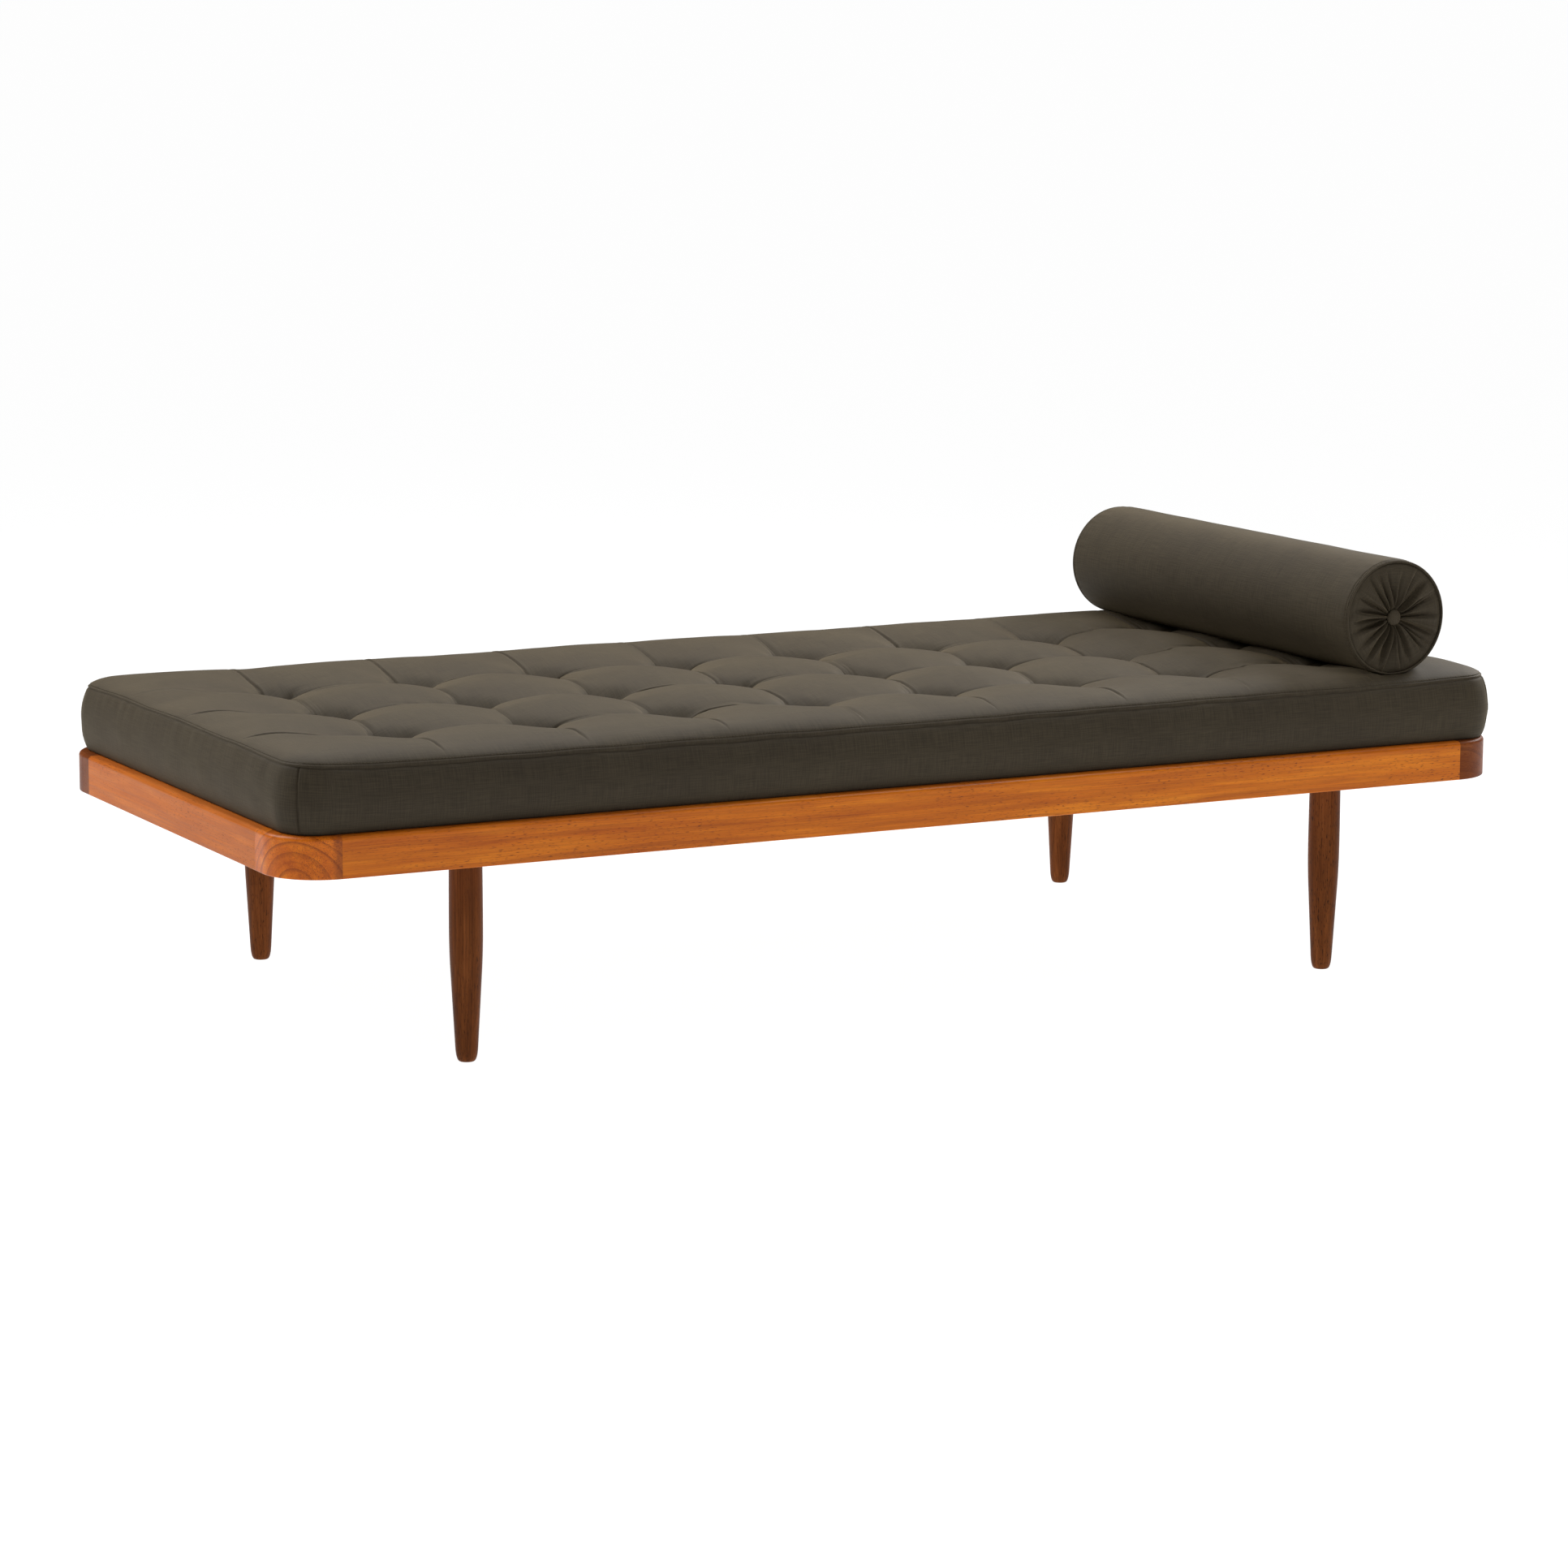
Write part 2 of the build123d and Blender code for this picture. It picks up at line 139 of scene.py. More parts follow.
def woodMaterial(name, look):
    material, tree = emptyMaterial(name)
    place = addNode(tree, "ShaderNodeTexCoord").outputs["Object"]
    ringPlace = place
    if look.get("mirrored"):
        ringPlace = addNode(tree, "ShaderNodeVectorMath", {0: place}, operation="ABSOLUTE")
    turn = [math.radians(a) for a in look["grainTurn"]]  # brings the grain onto X
    grain = addNode(tree, "ShaderNodeMapping", {"Vector": place, "Rotation": turn})
    ringGrain = addNode(tree, "ShaderNodeMapping", {"Vector": ringPlace, "Rotation": turn})
    streaky = {}
    for pattern, scale, detail, roughness in (  # waves to the metre along and across, then fineness
        ("sway", (1.6, 9.0, 9.0), 3.0, 0.5),
        ("fibre", (7.0, 650.0, 650.0), 3.0, 0.6),  # streaks about 1.5 mm apart
        ("figure", look["figure"], 4.0, 0.6),  # soft streaks a hand long and a finger wide
        ("pore", (110.0, 800.0, 800.0), 1.0, 0.5),  # open vessels, dashes 1 mm wide and 8 mm long
        ("crowding", (5.0, 22.0, 22.0), 2.0, 0.5),  # pores are crowded here and rare there
    ):
        drawnOut = addNode(tree, "ShaderNodeMapping", {"Vector": grain, "Scale": scale})
        spread = {"Vector": drawnOut, "Scale": 1.0, "Detail": detail, "Roughness": roughness}
        streaky[pattern] = addNode(tree, "ShaderNodeTexNoise", spread)

    # rings: the distance from the pith, swaying, counted in years of uneven width
    parts = addNode(tree, "ShaderNodeSeparateXYZ", {0: ringGrain})
    aside = {0: parts.outputs["Y"], 1: look["pith"][0]}
    away = addNode(tree, "ShaderNodeMath", aside, operation="SUBTRACT")
    above = {0: parts.outputs["Z"], 1: look["pith"][1]}
    over = addNode(tree, "ShaderNodeMath", above, operation="SUBTRACT")
    flat = addNode(tree, "ShaderNodeCombineXYZ", {0: away, 1: over})
    radius = addNode(tree, "ShaderNodeVectorMath", {0: flat}, operation="LENGTH").outputs["Value"]
    swaying = {0: streaky["sway"], 1: look["sway"] / 1000, 2: radius}
    swayed = addNode(tree, "ShaderNodeMath", swaying, operation="MULTIPLY_ADD")
    years = addNode(tree, "ShaderNodeMath", {0: swayed, 1: 1000 / look["ringWidth"]}, operation="MULTIPLY")
    weather = {"W": years, "Scale": 0.37, "Detail": 2.0}
    uneven = addNode(tree, "ShaderNodeTexNoise", weather, noise_dimensions="1D")
    season = addNode(tree, "ShaderNodeMath", {0: uneven, 1: 2.2, 2: years}, operation="MULTIPLY_ADD")
    phase = addNode(tree, "ShaderNodeMath", {0: season}, operation="FRACT")
    lateWood = addNode(tree, "ShaderNodeValToRGB", {0: phase})
    setStops(lateWood, [(0.0, grey(0.2)), (0.10, grey(0.0)), (0.62, grey(0.08)), (0.93, grey(1.0))])
    year = addNode(tree, "ShaderNodeMath", {0: season}, operation="FLOOR")
    luck = addNode(tree, "ShaderNodeTexWhiteNoise", {"W": year}, noise_dimensions="1D").outputs["Value"]
    strong = look["ringStrength"]  # some years leave a strong line and others hardly any
    strength = addNode(tree, "ShaderNodeMapRange", {0: luck, 3: 0.3 * strong, 4: strong})
    ringShare = addNode(tree, "ShaderNodeMath", {0: lateWood, 1: strength}, operation="MULTIPLY")

    crowded = {0: streaky["crowding"], 1: 0.40, 2: 0.62, 3: 0.3 * look["pores"], 4: look["pores"]}
    share = addNode(tree, "ShaderNodeMapRange", crowded)
    pores = addNode(tree, "ShaderNodeMapRange", {0: streaky["pore"], 1: 0.60, 2: 0.70, 3: 0.0, 4: share})
    tones = addNode(tree, "ShaderNodeValToRGB", {0: streaky["figure"]})
    setStops(tones, [(at, linear(tone)) for at, tone in zip((0.30, 0.52, 0.72), look["tones"])])
    body = tones.outputs[0]
    if "heart" in look:  # darker heartwood, beyond a line across the rings
        wavering = {0: streaky["sway"], 1: 0.012, 2: away}
        beyond = addNode(tree, "ShaderNodeMath", wavering, operation="MULTIPLY_ADD")
        border = {0: beyond, 1: look["heartStart"], 2: look["heartStart"] + 0.006, 4: 0.85}
        zone = addNode(tree, "ShaderNodeMapRange", border)
        hearted = {0: zone, 6: body, 7: linear(look["heart"])}
        body = addNode(tree, "ShaderNodeMix", hearted, data_type="RGBA").outputs[2]
    growth = {0: ringShare, 6: body, 7: linear(look["lateWood"])}
    ringed = addNode(tree, "ShaderNodeMix", growth, data_type="RGBA").outputs[2]
    paler = {0: streaky["fibre"], 1: 0.3, 2: 0.7, 3: 1 - look["streaks"], 4: 1 + look["streaks"]}
    streak = addNode(tree, "ShaderNodeMapRange", paler)
    streaked = addNode(tree, "ShaderNodeVectorMath", {0: ringed, "Scale": streak}, operation="SCALE")
    speckled = {0: pores, 6: streaked, 7: linear(look["pore"])}
    colour = addNode(tree, "ShaderNodeMix", speckled, data_type="RGBA").outputs[2]
    dull = look["roughness"]
    duller = {0: streaky["fibre"], 1: 0.3, 2: 0.7, 3: dull - 0.06, 4: dull + 0.08}
    rough = addNode(tree, "ShaderNodeMapRange", duller)
    sunk = {0: pores, 1: -1.0, 2: streaky["fibre"]}  # pores lie lower than the fibres about them
    relief = addNode(tree, "ShaderNodeMath", sunk, operation="MULTIPLY_ADD")
    bump = addNode(tree, "ShaderNodeBump", {"Strength": 0.35, "Distance": 0.0004, "Height": relief})
    surface = {
        "Base Color": colour,
        "Roughness": rough,
        "Normal": bump,
        "IOR": 1.36,
        "Specular IOR Level": look["gloss"],
        "Coat Weight": look["oil"],
        "Coat Roughness": 0.22,
        "Coat IOR": 1.3,
    }
    shader = addNode(tree, "ShaderNodeBsdfPrincipled", surface)
    addNode(tree, "ShaderNodeOutputMaterial", {0: shader})
    return material


# Oiled teak, sawn and planed: honey orange with soft long figure and short dark pores
teakRail = {
    "grainTurn": (0, 0, 0),  # degrees, to bring the grain onto X
    "pith": (0.19, 0.10),  # where the log's middle lies, across the turned grain
    "ringWidth": 5.5,  # millimetres to a year
    "sway": 26.0,  # millimetres that the rings wander along the board
    "ringStrength": 0.42,
    "figure": (4.0, 60.0, 60.0),  # waves to the metre along and across
    "streaks": 0.17,
    "pores": 0.95,
    "tones": ("#a14e0b", "#b8620e", "#cf7816"),
    "lateWood": "#94480f",
    "pore": "#5f2d0f",
    "roughness": 0.42,
    "gloss": 0.25,
    "oil": 0.18,
}
teakEndRail = {  # the same teak with the grain across the daybed: calmer and drier, its paler, pinker tones partly its own and partly painted reflection of the glare this end shows at a glance
    **teakRail,
    "grainTurn": (0, 0, 90),
    "pith": (-0.8, 0.10),
    "figure": (5.0, 40.0, 40.0),
    # paler and pinker than the rail's tones: in part painted reflection of the grazing glare on this end
    "tones": ("#a3541c", "#b05f22", "#bd6a2b"),
    "lateWood": "#974b18",
    "ringStrength": 0.30,
    "pores": 0.7,
    "gloss": 0.12,
    "oil": 0.04,
}
teakLeg = {  # turned on a lathe and older: dark brown, with rings drawn out down the taper
    **teakRail,
    "grainTurn": (0, 90, 0),
    "mirrored": True,
    "pith": (0.31, 0.60),
    "ringWidth": 4.0,
    "sway": 9.0,
    "ringStrength": 0.50,
    "figure": (6.0, 70.0, 70.0),
    "streaks": 0.24,
    "tones": ("#522a10", "#633515", "#75421f"),
    "lateWood": "#3e200c",
    "pore": "#271408",
    "gloss": 0.08,
    "oil": 0.02,
}
honeyBlock = {  # cut across the corner: its rings show as arches round the bend
    **teakRail,
    "grainTurn": (0, 0, -45),
    "mirrored": True,
    "pith": (-0.3732, 0.257),
    "ringWidth": 11.0,
    "sway": 9.0,
    "ringStrength": 0.70,
    "figure": (14.0, 40.0, 40.0),
    "tones": ("#a64d0b", "#bf610f", "#cf7315"),
    "lateWood": "#73330b",
    "heart": "#8c4512",
    "heartStart": 0.052,
    "oil": 0.20,
}
walnutBrownBlock = {  # a dark heartwood block, its end grain drinking the oil
    **teakRail,
    "pith": (-0.33, 0.40),
    "ringWidth": 7.0,
    "sway": 8.0,
    "ringStrength": 0.5,
    "figure": (12.0, 30.0, 30.0),
    "tones": ("#592a10", "#6b3616", "#7c431e"),
    "lateWood": "#411e0b",
    "gloss": 0.12,
    "oil": 0.04,
}
beech = {  # planed and left bare: pale, with short flecks
    **teakRail,
    "pith": (0.5, 1.4),
    "ringWidth": 6.0,
    "ringStrength": 0.25,
    "figure": (10.0, 30.0, 30.0),
    "streaks": 0.05,
    "pores": 0.35,
    "tones": ("#c79a68", "#d4ab7b", "#dfba8c"),
    "lateWood": "#b98956",
    "pore": "#a0703f",
    "roughness": 0.6,
    "gloss": 0.2,
    "oil": 0.0,
}


def zincMaterial(name):  # zinc plated pressed steel: blue grey, with a faint spangle
    material, tree = emptyMaterial(name)
    place = addNode(tree, "ShaderNodeTexCoord").outputs["Object"]
    spangle = addNode(tree, "ShaderNodeTexVoronoi", {"Vector": place, "Scale": 420.0})  # 2.4 mm wide
    tone = addNode(tree, "ShaderNodeValToRGB", {0: spangle.outputs["Distance"]})
    setStops(tone, [(0.0, linear("#a9adac")), (1.0, linear("#c3c7c4"))])
    brush = addNode(tree, "ShaderNodeTexNoise", {"Vector": place, "Scale": 900.0, "Detail": 2.0})  # 1.1 mm
    rough = addNode(tree, "ShaderNodeMapRange", {0: brush, 3: 0.30, 4: 0.46})
    bump = addNode(tree, "ShaderNodeBump", {"Strength": 0.2, "Distance": 0.0002, "Height": brush})
    surface = {"Base Color": tone, "Metallic": 1.0, "Roughness": rough, "Normal": bump}
    shader = addNode(tree, "ShaderNodeBsdfPrincipled", surface)
    addNode(tree, "ShaderNodeOutputMaterial", {0: shader})
    return material


# Cotton satin, dyed dark olive brown: closely woven, matt head on and paler at a glance
clothLook = {
    "warm": "#383125",
    "cool": "#332c21",
    "threadSpacing": 1.3,  # millimetres, drawn about three times as coarse as the real weave
    "slubs": 0.20,
    "sheen": 0.14,
    "sheenTint": "#dcc498",
    "roughness": 0.72,
}


def clothMaterial(name, look):
    material, tree = emptyMaterial(name)
    place = addNode(tree, "ShaderNodeTexCoord").outputs["Object"]
    flat = addNode(tree, "ShaderNodeUVMap", uv_map="cloth")
    shade = addNode(tree, "ShaderNodeTexNoise", {"Vector": place, "Scale": 9.0, "Detail": 3.0})
    tone = addNode(tree, "ShaderNodeValToRGB", {0: shade})  # dyed unevenly, in clouds a hand wide
    setStops(tone, [(0.32, linear(look["cool"])), (0.68, linear(look["warm"]))])
    pitch = 1000 / look["threadSpacing"]
    crossing = []
    for scale in ((pitch, 26.0, 1.0), (26.0, pitch, 1.0)):  # warp, then weft, uneven every 40 mm
        laid = addNode(tree, "ShaderNodeMapping", {"Vector": flat, "Scale": scale})
        fine = {"Vector": laid, "Scale": 1.0, "Detail": 1.5, "Roughness": 0.6}
        crossing.append(addNode(tree, "ShaderNodeTexNoise", fine, noise_dimensions="2D"))
    threads = addNode(tree, "ShaderNodeMath", {0: crossing[0], 1: crossing[1]}, operation="ADD")
    thickened = {0: threads, 1: 0.7, 2: 1.3, 3: 1 - look["slubs"], 4: 1 + look["slubs"]}
    slub = addNode(tree, "ShaderNodeMapRange", thickened)
    colour = addNode(tree, "ShaderNodeVectorMath", {0: tone, "Scale": slub}, operation="SCALE")
    dull = look["roughness"]
    surface = {
        "Base Color": colour,
        "Roughness": addNode(tree, "ShaderNodeMapRange", {0: shade, 3: dull - 0.05, 4: dull + 0.05}),
        "Normal": addNode(tree, "ShaderNodeBump", {"Strength": 0.30, "Distance": 0.0004, "Height": threads}),
        "Sheen Weight": look["sheen"],
        "Sheen Roughness": 0.35,
        "Sheen Tint": linear(look["sheenTint"]),
        "Specular IOR Level": 0.15,
    }
    shader = addNode(tree, "ShaderNodeBsdfPrincipled", surface)
    addNode(tree, "ShaderNodeOutputMaterial", {0: shader})
    return material


railWood = woodMaterial("oiledTeakRail", teakRail)
endRailWood = woodMaterial("oiledTeakEndRail", teakEndRail)
legWood = woodMaterial("turnedTeakLeg", teakLeg)
honeyBlockWood = woodMaterial("honeyTeakBlock", honeyBlock)
brownBlockWood = woodMaterial("brownTeakBlock", walnutBrownBlock)
beechWood = woodMaterial("planedBeech", beech)
beechAcross = woodMaterial("planedBeechAcross", {**beech, "grainTurn": (0, 0, 90)})
zincSteel = zincMaterial("zincPlatedSteel")
satinCloth = clothMaterial("cottonSatin", clothLook)
threadCloth = clothMaterial("sewingThread", {**clothLook, "warm": "#453e30", "cool": "#40392c"})

finishes = (  # each material, and how the names of the nodes that wear it begin
    (legWood, ("leg_",)),
    (railWood, ("front_rail", "back_rail")),
    (endRailWood, ("left_end_rail", "right_end_rail")),
    (honeyBlockWood, ("corner_block_front_left", "corner_block_back_right")),
    (brownBlockWood, ("corner_block_front_right", "corner_block_back_left")),
    (beechWood, ("corner_dowels", "front_ledge", "back_ledge")),
    (beechAcross, ("slat", "leg_bearer", "middle_bearer")),
    (zincSteel, ("leg_plate", "leg_bolt", "slat_screws", "ledge_screws", "bearer_screws", "plate_screws")),
)
for nodeName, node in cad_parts.items():
    for material, beginnings in finishes:  # a later line overrules an earlier one
        if nodeName.startswith(beginnings):
            node.data.materials.clear()
            node.data.materials.append(material)
print("wood, steel and cloth ready")


# Mattress: a foam block in a cotton cover, tufted through in three rows of eight
coverLow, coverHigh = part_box("mattress_cover")
bolsterLow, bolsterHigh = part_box("bolster_cover")
mattressSizes = {
    "middle": (coverLow[0] + coverHigh[0]) / 2,  # along X; the cover is laid out from here
    "seamInset": 0.0090,  # top seam, in from the widest part of the border
    "cornerRadius": 0.050,
    "seamHeight": 0.4078,
    "leftSeamRise": 0.0105,  # the cover rides up at both ends
    "rightSeamRise": 0.0095,
    "cornerRise": 0.55,  # how much of that is left at the corners
    "riseLengths": (0.13, 0.24),  # over how much of the left and the right end
    "crown": 0.4288,
    "shoulder": 0.030,  # the top panel turns up over the foam's edge and then rises slowly
    "shoulderShare": 0.70,
    "rollWidth": 0.075,
    "cornerBlend": 0.014,  # how softly two edges' shoulders merge at a corner
    "padDome": 0.0034,
    "levelStrip": (0.05, 0.16),  # pads and valleys fade out towards the seam between these
    "tuftPitch": 0.2069,
    "tuftsLong": 8,
    "tuftsWide": 3,
    "tuftShift": (0.005, -0.002),
    "tuftDepth": 0.0410,
    "tuftPull": (0.88, 1.10),  # no two tufts are drawn down alike
    "tuftReach": 0.0350,
    "bowlShare": 0.50,  # of a hollow's depth; the rest is a funnel with a wider reach
    "funnelReach": 1.5,
    "tuftStar": 0.12,  # how much further a hollow runs along its folds than between them
    "lastColumn": 0.35,  # the share of that depth left beside the bolster, which squashes the pads
    "valleyDepth": 0.0075,
    "valleyReach": 0.026,
    "creaseDepth": 0.0034,
    "creaseWidth": 0.0014,
    "fanDepth": 0.0036,
    "fanGap": 0.0058,
    "fanLength": (0.035, 0.080),
    "fanReach": 0.16,  # none runs further from its tuft than this
    "lipShare": 0.34,  # how much one side of a fold stands up, as a share of the fold's depth
    "lumps": (0.0010, 0.24),  # height and length of the filling's soft lumps
    "stray": (0.0042, 0.30),  # how far the lines of tufts stray, and over what length
    "strayStart": 0.16,  # how far in from the seam they stray in full
    "clearance": 0.0004,  # between the cover and what carries it
    "borderHeight": 0.082,
    "bulge": 0.0100,
    "tuck": 0.0012,
    "pucker": 0.00045,  # small waves where the seam gathers the border
    "drape": 0.0006,
    "seamGroove": 0.0011,
    "borderGroove": 0.0014,
    "jointGroove": 0.0022,  # where the border's strips are joined at the corners
    "stitchInset": 0.0024,  # the stitched line's way in from the seam
    "stitchGroove": 0.0006,
    "gridGap": 0.0075,
    "seed": 7,
}


def tuftLines(sizes):  # where the columns and the rows of tufts stand
    return [
        shift + sizes["tuftPitch"] * (np.arange(count) - (count - 1) / 2)
        for shift, count in zip(sizes["tuftShift"], (sizes["tuftsLong"], sizes["tuftsWide"]))
    ]


def halfSizes(sizes):  # from the mattress's middle to its top seam, along and across
    return [(coverHigh[i] - coverLow[i]) / 2 - sizes["seamInset"] for i in (0, 1)]


def wayIn(flat, sizes):  # how far a flat grid's points lie in from the end seams and the side seams
    return np.array(halfSizes(sizes))[:, None, None] - np.abs(flat)


def gridLines(sizes, edgeSteps, markSteps, gap):  # dense at the seams and the tufts, even between
    both = []
    for edge, marks in zip(halfSizes(sizes), tuftLines(sizes)):
        fixed = [edge - s for s in edgeSteps] + [s - edge for s in edgeSteps]
        for mark in marks:
            fixed += [mark + s for s in markSteps] + [mark - s for s in markSteps if s]
        fixed = sorted(fixed)
        lines = [fixed[0]]
        for nextLine in fixed[1:]:
            count = max(1, math.ceil((nextLine - lines[-1]) / gap))
            start = lines[-1]
            lines += [start + (nextLine - start) * (k + 1) / count for k in range(count)]
        both.append(np.array(lines))
    return both


def smoothStep(value, low, high):
    share = np.clip((value - low) / (high - low), 0.0, 1.0)
    return share * share * (3 - 2 * share)


def ripple(x, y, seed, count, size):  # a smooth seeded wandering, about -1 to 1
    dice = np.random.default_rng(seed)
    total = np.zeros_like(x)
    for _ in range(count):
        heading = dice.uniform(0, 2 * math.pi)
        wave = dice.uniform(0.7, 1.6) * 2 * math.pi / size
        start = dice.uniform(0, 2 * math.pi)
        total += np.sin(wave * (x * math.cos(heading) + y * math.sin(heading)) + start)
    return total / math.sqrt(count)


def seamLevel(plan, sizes):  # height of the top seam round the mattress
    x, y = plan
    halfLength, halfWidth = halfSizes(sizes)
    middleness = np.clip(1 - (y / halfWidth) ** 2, 0.0, 1.0)
    keep = sizes["cornerRise"] + (1 - sizes["cornerRise"]) * middleness
    leftLength, rightLength = sizes["riseLengths"]
    left = sizes["leftSeamRise"] * keep * smoothStep(-x, halfLength - leftLength, halfLength - 0.005)
    right = sizes["rightSeamRise"] * keep * smoothStep(x, halfLength - rightLength, halfLength)
    wander = 0.0014 * np.sin(3.1 * x - 0.9) + 0.0004 * ripple(x, y, 3, 5, 0.11)
    return sizes["seamHeight"] + left + right + wander


def bolsterUnderside(x, y):  # how high the mattress may stand where the bolster rests
    radius = (bolsterHigh[2] - bolsterLow[2]) / 2
    middle = (bolsterLow[0] + bolsterHigh[0]) / 2
    dip = np.sqrt(np.clip(radius ** 2 - (x - middle) ** 2, 0.0, None))
    under = (bolsterLow[2] + radius) - dip
    pressed, clearance, slope = 0.0018, 0.0007, 1.6  # flat strip, air under it, the dent's rim
    under = np.maximum(under, bolsterLow[2] + pressed) - clearance
    past = np.clip(np.maximum(np.abs(y) - bolsterHigh[1], np.abs(x - middle) - radius), 0.0, None)
    return under + past * slope


def roundedPlan(flat, sizes):  # rounds a flat grid's corners; also the way in from the seam
    half = np.array(halfSizes(sizes))[:, None, None]
    corner = sizes["cornerRadius"]
    share = np.clip((np.abs(flat) - (half - corner)) / corner, 0.0, 1.0)
    inCorner = share.min(0) > 0
    bent = share * np.sqrt(1 - share[::-1] ** 2 / 2)
    plan = np.where(inCorner, np.sign(flat) * (half - corner + corner * bent), flat)
    rounded = corner * (1 - np.sqrt(bent[0] ** 2 + bent[1] ** 2))
    inside = np.where(inCorner, rounded, wayIn(flat, sizes).min(0))
    return plan, np.clip(inside, 0.0, None)


def shoulderRise(inward, sizes):  # how far the top panel has risen, as a share of its full rise
    turned = np.sqrt(1 - np.clip(1 - inward / sizes["shoulder"], 0.0, 1.0) ** 2)
    slow = 1 - np.clip(1 - inward / sizes["rollWidth"], 0.0, 1.0) ** 2.1
    return sizes["shoulderShare"] * turned + (1 - sizes["shoulderShare"]) * slow


def mattressHeight(flat, plan, inside, sizes):  # the stuffed top, before its creases
    fromEnd, fromSide = wayIn(flat, sizes)
    blend = sizes["cornerBlend"]
    merged = -blend * np.log(np.exp(-fromEnd / blend) + np.exp(-fromSide / blend))
    deep = smoothStep(inside, 0.016, 0.048)
    inward = np.clip(inside * (1 - deep) + merged * deep, 0.0, None)
    roll = shoulderRise(inward, sizes)
    columns, rows = tuftLines(sizes)
    column = np.abs(flat[0][..., None] - columns).argmin(-1)
    row = np.abs(flat[1][..., None] - rows).argmin(-1)
    nearX = flat[0] - columns[column]
    nearY = flat[1] - rows[row]
    dice = np.random.default_rng(sizes["seed"] + 1)
    pulls = dice.uniform(*sizes["tuftPull"], (len(columns), len(rows)))
    pulls[-1] *= sizes["lastColumn"]
    away = np.hypot(nearX, nearY)
    cosine = nearX / np.maximum(away, 1e-6)
    star = 1 + sizes["tuftStar"] * (8 * cosine ** 4 - 8 * cosine ** 2 + 1)
    bowl = np.exp(-(away / (sizes["tuftReach"] * star)) ** 3)
    funnel = np.exp(-away / (sizes["funnelReach"] * sizes["tuftReach"] * star))
    mixed = sizes["bowlShare"] * bowl + (1 - sizes["bowlShare"]) * funnel
    hollow = sizes["tuftDepth"] * pulls[column, row] * mixed
    fadeX = np.exp(-np.abs(nearX) / sizes["valleyReach"])
    fadeY = np.exp(-np.abs(nearY) / sizes["valleyReach"])
    amongPads = smoothStep(inward, *sizes["levelStrip"])
    valley = sizes["valleyDepth"] * (fadeX + fadeY - fadeX * fadeY) * amongPads
    dome = sizes["padDome"]
    for near in (nearX, nearY):
        dome = dome * np.sin(np.clip(math.pi * near / sizes["tuftPitch"], -math.pi / 2, math.pi / 2)) ** 2
    dome = dome * amongPads
    lift = sizes["lumps"][0] * ripple(*plan, 11, 9, sizes["lumps"][1])
    crown = sizes["crown"] - hollow - valley + dome + lift
    level = seamLevel(plan, sizes)
    return level + (crown - level) * roll


def pressDown(points):  # the mattress gives way under the bolster
    under = bolsterUnderside(points[..., 0], points[..., 1])
    soft = 0.0022
    blend = np.clip(0.5 + (under - points[..., 2]) / (2 * soft), 0.0, 1.0)
    points[..., 2] = under * (1 - blend) + points[..., 2] * blend - soft * blend * (1 - blend)
    return points


def gridFaces(countX, countY):  # quads of a grid stored column by column
    index = np.arange(countX * countY).reshape(countX, countY)
    return np.stack([index[:-1, :-1], index[1:, :-1], index[1:, 1:], index[:-1, 1:]], axis=-1).reshape(-1, 4)


def rimOrder(countX, countY):  # grid numbers round the rim, anticlockwise from the front left
    index = np.arange(countX * countY).reshape(countX, countY)
    return np.concatenate([index[:, 0], index[-1, 1:], index[-2::-1, -1], index[0, -2:0:-1]])


def gridNormals(points):  # unit normals of a grid of points
    alongX = np.gradient(points, axis=0)
    alongY = np.gradient(points, axis=1)
    normals = np.cross(alongX, alongY)
    return normals / np.maximum(np.linalg.norm(normals, axis=-1, keepdims=True), 1e-12)


